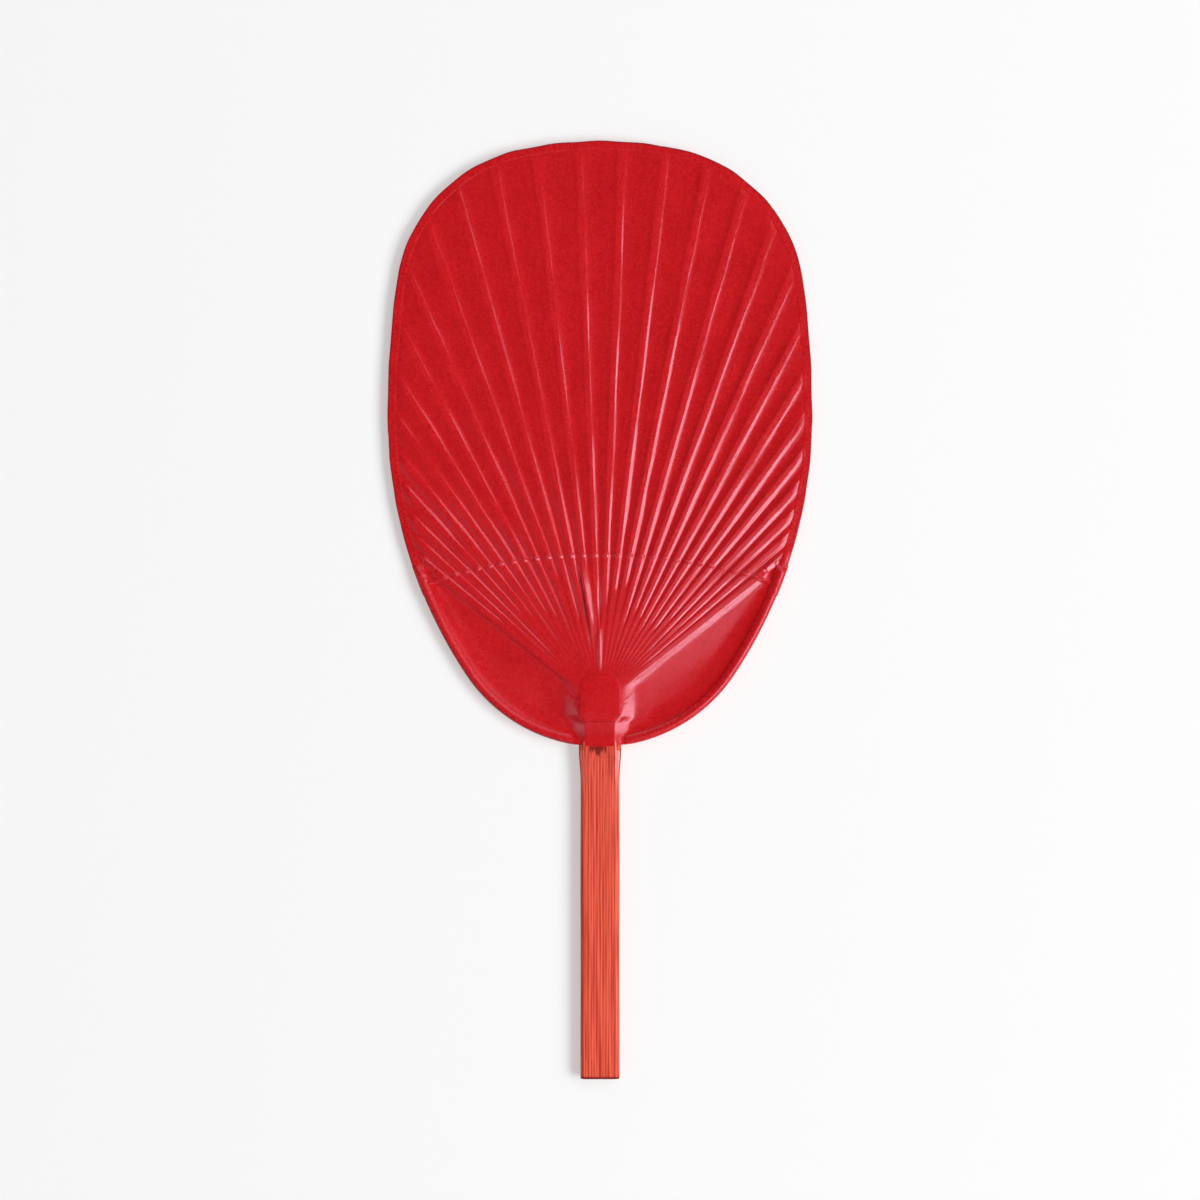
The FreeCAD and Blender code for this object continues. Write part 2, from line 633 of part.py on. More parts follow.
def mitred_tube(places, radius):
    """Thread along straight runs, mitred at every bend."""
    headings = [(after - before).normalize() for before, after in zip(places, places[1:])]
    side = headings[0].cross(UP).normalize()
    rise = side.cross(headings[0])
    turns = [step * 2 * math.pi / THREAD_SIDES for step in range(THREAD_SIDES)]
    rings = [[places[0] + side * (radius * math.cos(turn)) + rise * (radius * math.sin(turn)) for turn in turns]]
    for corner, heading, after in zip(places[1:], headings, headings[1:] + headings[-1:]):
        mitre = heading + after
        reach = heading.dot(mitre)
        rings.append([spot + heading * ((corner - spot).dot(mitre) / reach) for spot in rings[-1]])
    loops = [rings[0], rings[-1]]
    for before, after in zip(rings, rings[1:]):
        for here in range(THREAD_SIDES):
            following = (here + 1) % THREAD_SIDES
            loops.append([before[here], before[following], after[following], after[here]])
    return solid_of(loops)


def thread_pass(row, first_side):
    """One pass of the thread from ear to ear; row is its place beside the other, first_side its first face."""
    places = []
    for index, rib in enumerate(RIBS):
        level = UP * (rib.thread_level() * first_side * (-1) ** index)
        for end in (-rib.hold(), rib.hold()):
            spot = thread_point(rib.steps * PITCH + row * math.tan(rib.skew) + end)
            places.append(spot + (spot - THREAD_CENTRE).normalize() * row + level)
    outwards = point(Vector(), 1, NOTCH_ANGLE)
    right_tie = NOTCH + Vector(-outwards.y, outwards.x, 0) * row
    ties = []
    for last, flip in ((places[0], -1), (places[-1], 1)):
        tie = Vector(flip * right_tie.x, right_tie.y, 0)
        out = Vector(flip * outwards.x, outwards.y, 0) * TIE_RADIUS
        rise = UP * math.copysign(TIE_RADIUS, last.z)
        turns = [math.pi / 2 - step * TIE_STEP for step in range(TIE_CORNERS)]
        ties.append([tie + out * math.cos(turn) + rise * math.sin(turn) for turn in turns])
    return mitred_tube(ties[0][::-1] + places + ties[1], THREAD_RADIUS)


def thread():
    passes = [thread_pass(THREAD_ROW, 1), thread_pass(-THREAD_ROW, -1)]
    return feature("thread", Part.makeCompound(passes))


def both_faces(solid):
    return solid.fuse(mirrored(solid, UP))


def top_strip():
    """Edging folded over the rim of the tip, from ear to ear."""
    half = PAPER + size["strip_thickness"]
    band = outline_prism(0, -half, half).cut(outline_prism(size["strip_width"], -half, half))
    fold = outline_prism(size["strip_thickness"], -PAPER, PAPER)
    tip = point(FLANK_CENTRE, BOW_FLANK - BOW_INSET, TIP_ANGLE + PAPER / BOW_FLANK)
    foot = tip.y + size["strip_gap"]
    reach = size["blade_width"]
    upper = Part.makeBox(2 * reach, size["blade_length"], 2 * reach, Vector(-reach, foot, -reach))
    return cut("rim_strip_top", feature("edging_band", band.common(upper)), feature("edging_fold", fold))


def bow_wrap(name, bore, width, end=None):
    """Paper wrapped round the right of the bow, from its tip to an angle of the flank or to the neck."""
    apothem = bore + size["strip_thickness"]
    if end is None:
        wrap = half_rim(TIP_ANGLE, apothem, bore)
    else:
        wrap = turned(FLANK_CENTRE, BOW_FLANK, TIP_ANGLE, end, apothem, bore)
    tall = 2 * apothem
    inside = outline_prism(width, -tall, tall)
    return feature(name, wrap.cut([inside, both_faces(neck_tent(PAPER)), both_faces(ear_tent(PAPER))]))


def neck_patch():
    """Patch with a round top and cut lower corners, bent over the neck and the shoulder."""
    half, foot = size["patch_width"] / 2, size["patch_foot_width"] / 2
    low, high = size["patch_bottom"], size["patch_top"]
    spring = high - half
    right = [Vector(foot, low, 0), Vector(half, low + size["patch_corner"], 0), Vector(half, spring, 0)]
    left = [Vector(-place.x, place.y, 0) for place in reversed(right)]
    top = Part.Arc(right[-1], Vector(0, high, 0), left[0]).toShape()
    sides = [Part.makePolygon(right), Part.makePolygon(left), Part.makeLine(left[-1], right[0])]
    edges = [top] + [edge for side in sides for edge in side.Edges]
    shape = Part.Face(Part.Wire(Part.__sortEdges__(edges))).extrude(UP * size["neck_thickness"])
    layer = roof(PAPER + size["patch_thickness"]).cut(roof(PAPER))
    patch = doc.addObject("Part::Common", "neck_patch_front")
    patch.Base = feature("patch_outline", shape)
    patch.Tool = feature("patch_layer", layer)
    return patch


front = feature("front_paper", front_sheet())
pieces = [handle_with_ribs(), bow(), thread(), front, top_strip()]
copies = [mirror_of("back_paper", front, UP)]

EAR_END = TIP_ANGLE - size["ear_patch_length"] / BOW_FLANK
EAR_INNER = STRIP_INNER + size["strip_thickness"] + size["paste_gap"]
right_strip = bow_wrap("rim_strip_right", STRIP_INNER, size["bow_strip_width"])
right_ear = bow_wrap("ear_patch_right", EAR_INNER, size["ear_patch_width"], EAR_END)
pieces += [right_strip, right_ear]
copies.append(mirror_of("rim_strip_left", right_strip, ACROSS))
copies.append(mirror_of("ear_patch_left", right_ear, ACROSS))

front_patch = neck_patch()
pieces.append(front_patch)
copies.append(mirror_of("neck_patch_back", front_patch, UP))

for item in pieces:
    item.setExpression("Placement.Base.y", f"-({MIDDLE})")
    item.setExpression("Placement.Base.z", LIFT)
doc.recompute()

for item in doc.Objects:
    bad = [state for state in item.State if state in ("Invalid", "Error")]
    if bad:
        raise RuntimeError(f"{item.Name}: {bad}")
os.makedirs("parts", exist_ok=True)
for item in pieces + copies:
    shape = item.Shape
    if shape.isNull() or not shape.isValid():
        raise RuntimeError(f"{item.Label}: not a valid solid")
    shape.exportStep(f"parts/{item.Label}.step")
    print(item.Label, len(shape.Solids), round(shape.Volume, 1), shape.BoundBox)
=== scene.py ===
import math

import bmesh
import bpy
import numpy as np
from bpy.props import FloatProperty, FloatVectorProperty, PointerProperty
from bpy.types import Operator, Panel, PropertyGroup
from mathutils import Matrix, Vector, noise


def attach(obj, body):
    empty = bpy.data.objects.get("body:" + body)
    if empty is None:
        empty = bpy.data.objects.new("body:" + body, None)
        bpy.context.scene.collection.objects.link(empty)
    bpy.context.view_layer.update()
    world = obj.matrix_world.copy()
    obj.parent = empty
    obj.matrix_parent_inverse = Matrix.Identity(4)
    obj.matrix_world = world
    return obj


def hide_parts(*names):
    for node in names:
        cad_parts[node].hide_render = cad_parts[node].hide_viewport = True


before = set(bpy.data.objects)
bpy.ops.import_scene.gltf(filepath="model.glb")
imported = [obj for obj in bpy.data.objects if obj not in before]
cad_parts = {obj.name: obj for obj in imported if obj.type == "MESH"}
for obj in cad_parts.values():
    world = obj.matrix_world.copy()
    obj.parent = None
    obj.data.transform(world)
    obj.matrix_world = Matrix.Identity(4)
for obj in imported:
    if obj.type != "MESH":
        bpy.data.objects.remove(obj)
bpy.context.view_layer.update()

bl_info = {
    "name": "Uchiwa fan",
    "version": (1, 0, 0),
    "blender": (4, 5, 0),
    "location": "View3D > Sidebar > Uchiwa",
    "description": "Red paper fan on a split bamboo frame, piece by piece",
    "category": "Object",
}

# Sizes of the fan in millimetres, in its own frame: bottom of the blade at 0, middle plane at 0
MM = 0.001

# Outline of the blade
BLADE_LENGTH = 232.7
BLADE_WIDTH = 163.2
WIDEST_HEIGHT = 127.2
TOP_RADIUS = 141.6
CORNER_RADIUS = 60.4
SIDE_RADIUS = 380.0
LOBE_RADIUS = 61.8

# Handle, neck and shoulder, with half widths and half thicknesses
GRIP_LENGTH = 127.3
GRIP_HALF = 7.45
GRIP_THICK = 2.4
GRIP_BEVEL = 1.3
NECK_HALF = 8.1
NECK_THICK = 2.9
NECK_BEVEL = 2.5
NECK_DROP = 8.0
NECK_TAPER = 6.0
NECK_TOP = 13.0
SHOULDER_TOP = 31.1
SHOULDER_HALF = 11.0

# Ribs, and the guards at their two ends
HALF_RIBS = 14
LAST_RIB = 2 * HALF_RIBS - 1
FAN_CENTRE = 17.1
RIB_START = 14.0
RIB_SPAN = 201.6
RIB_ROOT_HALF = 0.3
RIB_TIP_HALF = 1.2
RIB_ROOT_THICK = 1.3
RIB_TIP_THICK = 0.5
RIB_SETBACK = 4.05
RIB_FIT_WIDE = 0.9
RIB_FIT_THICK = 0.8
GUARD_HALF = 1.0
GUARD_REACH = 80.0

# Thread, measured along its arc from the midline
THREAD_HEIGHT = 73.7
THREAD_RADIUS = 207.0
THREAD_CENTRE = THREAD_HEIGHT - THREAD_RADIUS
THREAD_END = 71.5
THREAD_HALF = 0.19
THREAD_SWING = 1.15
THREAD_RISE = 0.27
RIB_PITCH = 4.498

# Paper: crest over a rib, drop on its right, edge between rib ends, sag of the lobes
PAPER = 0.25
SHEET = 0.2
CREST_MARGIN = 0.22
CREST_LIMIT = 0.42
CREST_LEAN = 0.1
FLANK_SLOPE = 0.45
FLANK_LIMIT = 0.86
RIB_TUCK = 0.12
TUCK_WIDTH = 0.45
GUARD_CREST = GUARD_HALF + 0.2
GUARD_FLANKS = (1.8, 2.8)
GUARD_RUNOUT = 15.0
OUTER_HALF_GAP = 0.04
EDGE_SHRINK = 0.34
LOBE_HANG = 0.9
FOLD_X, FOLD_Y, FOLD_SLANT = -5.3, 56.2, 0.173

# Bow, strips and patches
BOW_INSET = 1.76
BOW_PAPER = 1.6
BOW_FALL = 2.8
BOW_TIP_HEIGHT = 67.3
STRIP = 0.15
STRIP_WIDTH = 3.6
STRIP_LOW_END = 0.78
NICK_GAP = STRIP_WIDTH - 0.4
EAR_HEIGHT = 65.5
EAR_COVER = 0.17
PATCH = 0.2
PATCH_BOTTOM, PATCH_TOP = 9.6, 29.7
PATCH_HALF, PATCH_FOOT, PATCH_CORNER = 7.9, 5.7, 2.5

# Place of the fan in the frame of the part
MIDDLE = (BLADE_LENGTH - GRIP_LENGTH) / 2
LIFT = NECK_THICK + PAPER + PATCH

# Patterns; kozo fibres are drawn 1 mm wide and brush marks 0.7 mm, coarse enough to show
KOZO_FIBRE = 1.0
DYE_CLOUD = 11.1
BRUSH_WIDTH = 0.7
BRUSH_LENGTH = 11.1
BRUSH_REACH = 119.0
STREAK_WIDTH = 0.4545
STREAK_STRETCH = 50.0
PITH_SPACING = 1.122

# Grid of a sheet: rows as count and crowding from the centre out, columns beside ribs, guards and on lobes
FACES = {"front": (1, 0), "back": (-1, 1)}
ROW_PLAN = ((34, 1.5), (12, 1.0), (30, 1.0), (13, 1.0))
THREAD_BAND = 2.0
END_BAND = 6.0
RIB_COLUMNS = 6
GUARD_COLUMNS = (1.1, 1.3, 2.0, 2.9, 4.0, 5.6)
LOBE_COLUMNS = 58
HALF_COUNT = HALF_RIBS * 2 * RIB_COLUMNS - RIB_COLUMNS + 1 + len(GUARD_COLUMNS) + LOBE_COLUMNS
ROW_COUNT = 1 + sum(count for count, _ in ROW_PLAN)
RIM_STEPS, EAR_STEPS = 150, 44
PATCH_COLUMNS, PATCH_ROWS = 40, 56
THREAD_STEPS, THREAD_SIDES = 420, 6
FACE_STEPS, SIDE_STEPS, BEVEL_STEPS = 56, 8, 4

# Studio in metres: name, place, width, height, the power it shares in, its share, whether it casts a shadow
LIGHTS = (
    ("key softbox", (4.56, -1.08, 3.96), 4.8, 2.64, "key_power", 1.0, True),
    ("near right softbox", (3.072, -3.072, 4.488), 1.32, 1.92, "key_power", 0.27, False),
    ("near right card", (1.2, -1.32, 6.0), 1.08, 2.16, "key_power", 0.05, False),
    ("far right card", (3.12, 3.12, 4.56), 2.4, 2.4, "key_power", 0.17, True),
    ("left bounce", (-4.08, -2.4, 4.56), 3.36, 4.8, "fill_power", 0.2, False),
    ("left card", (-5.52, -0.24, 3.48), 1.2, 1.44, "key_power", 0.09, False),
    ("far bounce", (0.0, 5.76, 3.6), 5.76, 3.36, "fill_power", 1.3, False),
    ("near bounce", (0.0, -5.76, 3.6), 5.76, 3.36, "fill_power", 0.35, False),
)
TABLE_HALF = 4.0
TABLE_GLOW = 0.24
ROOM_LIGHT = 0.1
LENS, SENSOR = 85.0, 36.0
PHOTO_WIDTH = 0.4606
PHOTO_MIDDLE = 0.0036


def circles_meet(first, first_radius, second, second_radius):
    """Upper crossing of two circles."""
    apart = math.hypot(second[0] - first[0], second[1] - first[1])
    along = (first_radius ** 2 - second_radius ** 2 + apart ** 2) / (2 * apart)
    aside = math.sqrt(first_radius ** 2 - along ** 2)
    ux, uy = (second[0] - first[0]) / apart, (second[1] - first[1]) / apart
    options = [(first[0] + ux * along - side * uy * aside, first[1] + uy * along + side * ux * aside)
               for side in (1, -1)]
    return max(options, key=lambda spot: spot[1])


def blade_arcs():
    """Arcs of the right half of the rim from the tip down: centre, radius, start and end angle."""
    top = (0.0, BLADE_LENGTH - TOP_RADIUS)
    side = (BLADE_WIDTH / 2 - SIDE_RADIUS, WIDEST_HEIGHT)
    corner = circles_meet(top, TOP_RADIUS - CORNER_RADIUS, side, SIDE_RADIUS - CORNER_RADIUS)
    rise = WIDEST_HEIGHT - LOBE_RADIUS
    half = BLADE_WIDTH / 2
    flank_radius = (half ** 2 + rise ** 2 - LOBE_RADIUS ** 2) / (2 * (half - LOBE_RADIUS))
    flank = (half - flank_radius, WIDEST_HEIGHT)
    lobe = (0.0, LOBE_RADIUS)
    top_end = math.atan2(corner[1] - top[1], corner[0] - top[0])
    side_start = math.atan2(corner[1] - side[1], corner[0] - side[0])
    flank_end = math.atan2(lobe[1] - flank[1], lobe[0] - flank[0])
    return [
        (top, TOP_RADIUS, math.pi / 2, top_end),
        (corner, CORNER_RADIUS, top_end, side_start),
        (side, SIDE_RADIUS, side_start, 0.0),
        (flank, flank_radius, 0.0, flank_end),
        (lobe, LOBE_RADIUS, flank_end, -math.pi / 2),
    ]


ARCS = blade_arcs()
RIB_STEPS = (np.arange(2 * HALF_RIBS) - HALF_RIBS + 0.5) * RIB_PITCH
RIB_ANGLES = np.arctan2(
    THREAD_RADIUS * np.sin(RIB_STEPS / THREAD_RADIUS),
    THREAD_CENTRE + THREAD_RADIUS * np.cos(RIB_STEPS / THREAD_RADIUS) - FAN_CENTRE,
)
BETWEEN = (RIB_ANGLES[1:] + RIB_ANGLES[:-1]) / 2

# Chance in the handwork, for both faces and for each space beside a rib; waves as share and length
SPACES = 2 * HALF_RIBS + 1
CHANCE = np.random.default_rng(28)
WOBBLE = CHANCE.uniform(0, 2 * math.pi, (2, SPACES, 8))
SLACK = CHANCE.uniform(0.5, 1.25, (2, SPACES))
FLANK_FOOT = CHANCE.uniform(16.0, 52.0, (2, SPACES))
SCALLOP = CHANCE.uniform(0.25, 1.0, 4 * HALF_RIBS)
WAVES = ((0.5, 9.0), (0.3, 4.3), (0.2, 23.0))


def climb(low, high, value):
    """Straight rise from 0 at low to 1 at high, which may lie below low."""
    return np.clip((value - low) / (high - low), 0, 1)


def ease(low, high, value):
    """Smooth rise from 0 at low to 1 at high, which may lie below low."""
    share = climb(low, high, value)
    return share * share * (3 - 2 * share)


def soft_max(first, second, width):
    """The larger of two heights with a fillet of the given width where they meet."""
    share = np.clip(0.5 + (first - second) / (2 * width), 0, 1)
    return second + (first - second) * share + width * share * (1 - share)


def polar(x, y):
    """Distance from the centre of the ribs and angle from the midline."""
    return np.hypot(x, y - FAN_CENTRE), np.arctan2(x, y - FAN_CENTRE)


def rim_gap(x, y):
    """Distance inwards from the rim of the blade."""
    gap = np.full(np.shape(x), 60.0)
    for (cx, cy), radius, start, end in ARCS:
        dx, dy = np.abs(x) - cx, y - cy
        angle = np.arctan2(dy, dx)
        inside = (angle <= start + 1e-9) & (angle >= end - 1e-9)
        gap = np.where(inside, np.minimum(gap, radius - np.hypot(dx, dy)), gap)
    return gap


def rim_reach(angle):
    """Distance from the centre of the ribs to the rim, by angle from the midline."""
    near = np.full(np.shape(angle), 5.0)
    far = np.full(np.shape(angle), 260.0)
    for _ in range(44):
        middle = (near + far) / 2
        within = rim_gap(middle * np.sin(angle), FAN_CENTRE + middle * np.cos(angle)) > 0
        near = np.where(within, middle, near)
        far = np.where(within, far, middle)
    return near


def edge_wave(angle):
    """How far the edge is drawn in between two rib ends, where the paper has shrunk."""
    turn = np.abs(angle) / (RIB_ANGLES[-1] - RIB_ANGLES[-2]) * 0.62
    pick = np.clip((angle + math.pi) / (2 * math.pi) * len(SCALLOP), 0, len(SCALLOP) - 1).astype(int)
    fading = 1 - ease(0.6, 0.95, np.abs(angle))
    return EDGE_SHRINK * SCALLOP[pick] * np.sin(math.pi * turn) ** 2 * fading


def rib_thickness(height):
    """Half thickness of the bamboo by height in the blade."""
    root = NECK_THICK + (RIB_ROOT_THICK - NECK_THICK) * climb(NECK_TOP, SHOULDER_TOP, height)
    return root + (RIB_TIP_THICK - RIB_ROOT_THICK) * climb(SHOULDER_TOP, BLADE_LENGTH, height)


def rib_half(reach):
    """Half width of a rib by distance from the centre of the ribs."""
    return RIB_ROOT_HALF + (RIB_TIP_HALF - RIB_ROOT_HALF) * climb(RIB_START, RIB_START + RIB_SPAN, reach)


def waver(side, rib, reach, first):
    """Slow irregular change along a rib, about -1 to 1."""
    phase = WOBBLE[side, rib]
    return sum(share * np.sin(reach / length + phase[..., first + n])
               for n, (share, length) in enumerate(WAVES))


def crest_half(side, rib, reach, half_gap):
    """Half width of the paper's crest over a rib."""
    crest = (rib_half(reach) + CREST_MARGIN) * (1 + 0.16 * waver(side, rib, reach, 0))
    return np.minimum(crest, CREST_LIMIT * half_gap)


def flank_width(side, space, reach, free, settings):
    """Width of the short flank by which the paper drops off the right of a rib into the next space."""
    drawn = ease(0.05, 0.5, BETWEEN[np.clip(space - 1, 0, len(BETWEEN) - 1)]) * ease(25, 70, reach)
    wide = settings.flank / MM * (1.05 + 1.6 * drawn * SLACK[side, space])
    wide = wide * (1 + 0.45 * waver(side, space, reach, 3))
    return np.minimum(wide, FLANK_LIMIT * free)


def gap_halves(rib, angle):
    """Half of the angle between a rib and its neighbour on the side where the point lies."""
    before, after = np.maximum(rib - 1, 0), np.minimum(rib, LAST_RIB - 1)
    left = np.where(rib > 0, RIB_ANGLES[rib] - BETWEEN[before], OUTER_HALF_GAP)
    right = np.where(rib < LAST_RIB, BETWEEN[after] - RIB_ANGLES[rib], OUTER_HALF_GAP)
    return np.where(angle < RIB_ANGLES[rib], left, right)


def ridge(distance, crest, flank, sag=2.0):
    """Share of the height: 1 on the crest, sagging to 0 at the foot of the flank."""
    away = np.clip((distance - crest) / np.maximum(flank, 1e-6), 0, 1)
    return (1 - away) ** sag


def rib_cover(x, y, gap, side, settings):
    """Height over the ribs: the paper drops off the right of each and rises slowly to the next."""
    reach, angle = polar(x, y)
    rib = np.searchsorted(BETWEEN, angle)
    turn = angle - RIB_ANGLES[rib]
    right = turn > 0
    space = rib + right
    aside = np.abs(reach * np.sin(turn))
    half_gap = reach * gap_halves(rib, angle)
    crest = crest_half(side, rib, reach, half_gap)
    free = half_gap - crest
    flank = flank_width(side, space, reach, free, settings)
    past = np.maximum(aside - crest, 0)
    rising = np.clip((past - flank) / (2 * free - flank), 0, 1)
    falling = ridge(past, 0, flank, 1.15)
    share = np.where(right, np.maximum(falling, rising), 1 - past / (2 * free - flank))

    # Low down the drop peters out at a foot of its own
    foot = FLANK_FOOT[side, space]
    slack = (0.62 + 0.35 * SLACK[side, space]) * (1 + 0.3 * waver(side, space, reach, 5))
    dip = FLANK_SLOPE * flank * slack * (0.2 + 0.8 * ease(foot - 1.2, foot + 1.2, reach))

    # The paper is rubbed down close beside the ribs, less so at the left
    tuck = RIB_TUCK * (1 + 0.6 * waver(side, space, reach, 2)) * ease(30, 60, reach)
    tuck = tuck * (0.25 + 0.75 * ease(-0.7, -0.1, angle))
    tuck = tuck * ease(0, np.where(right, flank, np.minimum(TUCK_WIDTH, 0.3 * free)), past)

    lean = CREST_LEAN * np.clip(np.where(right, aside, -aside), -crest, crest)
    height = np.maximum(rib_thickness(y) - dip * (1 - share) - lean * share - tuck, 0)
    ends = ease(RIB_SETBACK - 3.4, RIB_SETBACK + 2.0, gap)
    starts = ease(RIB_START - 7, RIB_START, reach)
    return np.where(np.abs(angle) <= RIB_ANGLES[-1], height * ends * starts, 0)


def guard_cover(x, y, side):
    """Height outside the guards: a broad flank that runs out over the lobe, and a blunt end at the thread."""
    reach, angle = polar(x, y)
    guard = np.where(angle < 0, 0, LAST_RIB)
    turn = np.abs(angle) - RIB_ANGLES[-1]
    along, aside = reach * np.cos(turn), reach * np.sin(turn)
    steep = np.where(angle < 0, *GUARD_FLANKS) * (1 + 0.14 * waver(side, guard, reach, 3))
    broad = 0.74 * ridge(aside, GUARD_CREST, steep, 1.15) + 0.26 * ridge(aside, GUARD_CREST, GUARD_RUNOUT)
    blunt = 1 - ease(GUARD_REACH - 1.0, GUARD_REACH + 4.0, along)
    thick = rib_thickness(FAN_CENTRE + np.maximum(along, 0) * math.cos(RIB_ANGLES[-1]))
    return np.where(turn > 0, thick * broad * blunt * ease(-4, 12, along), 0)


def neck_cover(x, y, side):
    """Height over neck and shoulder: a bevelled block, with slopes beside it where the paper is crumpled."""
    stop = ease(8.4, 12.6, y)
    flat = NECK_HALF - NECK_BEVEL * (1 - stop)
    flat = flat + (SHOULDER_HALF - 1.0 - NECK_HALF) * climb(NECK_TOP, SHOULDER_TOP, y)
    slope = 4.8 + 2.2 * ease(0, 9, y) - 1.0 * stop
    crumple = 0.03 * np.sin(y / 2.1 + side) + 0.025 * np.sin(y / 0.9 + np.sign(x))
    over = 1 - ease(SHOULDER_TOP - 1, SHOULDER_TOP + 7, y)
    return rib_thickness(y) * ridge(np.abs(x), flat, slope * (1 + crumple), 1.2) * over


def thread_cover(x, y):
    """Height over the thread's two tails, and the line between the ribs that lifts to a bead on each."""
    away = np.abs(np.hypot(x, y - THREAD_CENTRE) - THREAD_RADIUS)
    step = THREAD_RADIUS * np.arctan2(x, y - THREAD_CENTRE)
    nearest = np.clip(np.round(step / RIB_PITCH - 0.5), -HALF_RIBS, HALF_RIBS - 1) + 0.5
    on_rib = 1 - ease(0.5, 1.7, np.abs(step - nearest * RIB_PITCH))
    held = np.abs(step) < THREAD_END
    beads = (0.06 + THREAD_RISE * on_rib) * np.exp(-(away / 0.5) ** 2) * held
    beyond = np.abs(step) - (HALF_RIBS - 0.5) * RIB_PITCH
    tail = np.where(beyond > 0.6, rib_thickness(THREAD_HEIGHT) + 0.2 - 0.12 * beyond, 0) * held
    return tail * (1 - ease(0.35, 0.75 + 0.6 * tail, away)), beads


def bow_cover(gap):
    """Height over the bow, round at the rim and running out inwards."""
    inward = gap - BOW_INSET
    outer_side = np.sqrt(np.maximum(BOW_PAPER ** 2 - inward ** 2, 0))
    return np.where(inward < 0, outer_side, BOW_PAPER * np.exp(-(inward / BOW_FALL) ** 2))


def creases(x, y):
    """Creases of the front: one wide fold left of the midline and a short one that rises out of the patch."""
    from_fold = x - FOLD_X + FOLD_SLANT * (y - FOLD_Y)
    fold = np.exp(-(from_fold / np.where(from_fold < 0, 0.8, 1.9)) ** 2)
    fold = fold * ease(39, 52, y) * (1 - ease(62, 72, y))
    reach = polar(x, y)[0]
    short = np.exp(-((x + 0.25) / 0.65) ** 2) * (y > FAN_CENTRE)
    return fold, short * ease(11, 15, reach) * (1 - ease(24, 40, reach))


def paper_height(x, y, side, settings):
    """Height of the paper's outer face above the middle plane at each point of the blade."""
    gap = rim_gap(x, y)
    below_tip = 1 - ease(BOW_TIP_HEIGHT - 1.5, BOW_TIP_HEIGHT + 1.5, y)
    tail, beads = thread_cover(x, y)
    base = soft_max(rib_cover(x, y, gap, side, settings), neck_cover(x, y, side), 0.35)
    base = soft_max(base, guard_cover(x, y, side), 0.5)
    base = soft_max(base, tail, 0.12) + beads
    if side == 0:
        fold, short = creases(x, y)
        base = base + fold * (1.0 + 0.8 * (rib_thickness(y) - base)) + 0.45 * short
    flat_edge = PAPER * (1 - below_tip * (1 - ease(1.0, 4.0, gap)))
    fillet = 0.8 * below_tip * ease(0.5, 2.5, gap) + 0.001
    return soft_max(base + flat_edge, bow_cover(gap) * below_tip, fillet)


def lobe_sag(x, y):
    """How far the two sheets of a lobe hang to the back between guard, neck and bow."""
    reach, angle = polar(np.abs(x), y)
    from_guard = reach * np.sin(np.clip(angle - RIB_ANGLES[-1], 0, math.pi / 2))
    from_neck = np.abs(x) - NECK_HALF
    hang = ease(0.0, 13.0, from_guard) * ease(3.0, 14.0, from_neck) * ease(2.6, 11.0, rim_gap(x, y))
    return -LOBE_HANG * hang * (angle > RIB_ANGLES[-1])


def cockles(x, y, side):
    """Unevenness of pasted paper: swells of 11 mm and small ones of 4 mm."""
    return np.array([noise.noise((px / 11, py / 11, 3.0 + side))
                     + 0.5 * noise.noise((px / 4, py / 4, 9.0 + side)) for px, py in zip(x, y)])


# Meshes are made with bmesh operators and moved into place in metres

def place(x, y, z):
    """A point of the fan in metres in the frame of the part."""
    return x * MM, (y - MIDDLE) * MM, (z + LIFT) * MM


def grid_mesh(columns, rows, shape, weld=0.0):
    """A grid of faces with each vertex moved to shape(column, row)."""
    bm = bmesh.new()
    bmesh.ops.create_grid(bm, x_segments=columns, y_segments=rows, size=1.0)
    column = np.array([round((vert.co.x + 1) / 2 * columns) for vert in bm.verts])
    row = np.array([round((vert.co.y + 1) / 2 * rows) for vert in bm.verts])
    x, y, z = place(*shape(column, row))
    for vert, spot in zip(bm.verts, zip(x, y, z)):
        vert.co = spot
    if weld:
        bmesh.ops.remove_doubles(bm, verts=bm.verts, dist=weld)
    return bm


def face_out(bm, outward):
    """Turn an open sheet so that its faces look along the given direction."""
    bm.normal_update()
    facing = sum((face.normal * face.calc_area() for face in bm.faces), Vector())
    if facing.dot(outward) < 0:
        bmesh.ops.reverse_faces(bm, faces=bm.faces)


def close_ends(bm):
    """Close the open ends of a tube and turn its faces outwards."""
    bmesh.ops.holes_fill(bm, edges=[edge for edge in bm.edges if edge.is_boundary])
    bmesh.ops.recalc_face_normals(bm, faces=bm.faces)


def put(name, data):
    """A new object in the scene."""
    made = bpy.data.objects.new(name, data)
    bpy.context.scene.collection.objects.link(made)
    return made


def piece(name, bm, material, node):
    """Turn a finished mesh into the object that stands for one node of the part."""
    mesh = bpy.data.meshes.new(name)
    for face in bm.faces:
        face.smooth = True
    bm.to_mesh(mesh)
    bm.free()
    mesh.materials.append(material)
    made = put(name, mesh)
    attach(made, "root")
    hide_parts(node)
    return made


def thicken(made, thickness):
    """Give an open sheet its thickness, inwards from the face that shows."""
    sheet = made.modifiers.new("thickness", "SOLIDIFY")
    sheet.thickness = thickness * MM
    sheet.offset = -1.0


def mark(made, name, values):
    """Paint a number from 0 to 1 on each vertex, worked out from its place in the fan's own frame."""
    spots = np.array([vert.co for vert in made.data.vertices]) / MM
    layer = made.data.attributes.new(name, "FLOAT", "POINT")
    layer.data.foreach_set("value", values(spots[:, 0], spots[:, 1] + MIDDLE, spots[:, 2] - LIFT))


# Sheets of paper

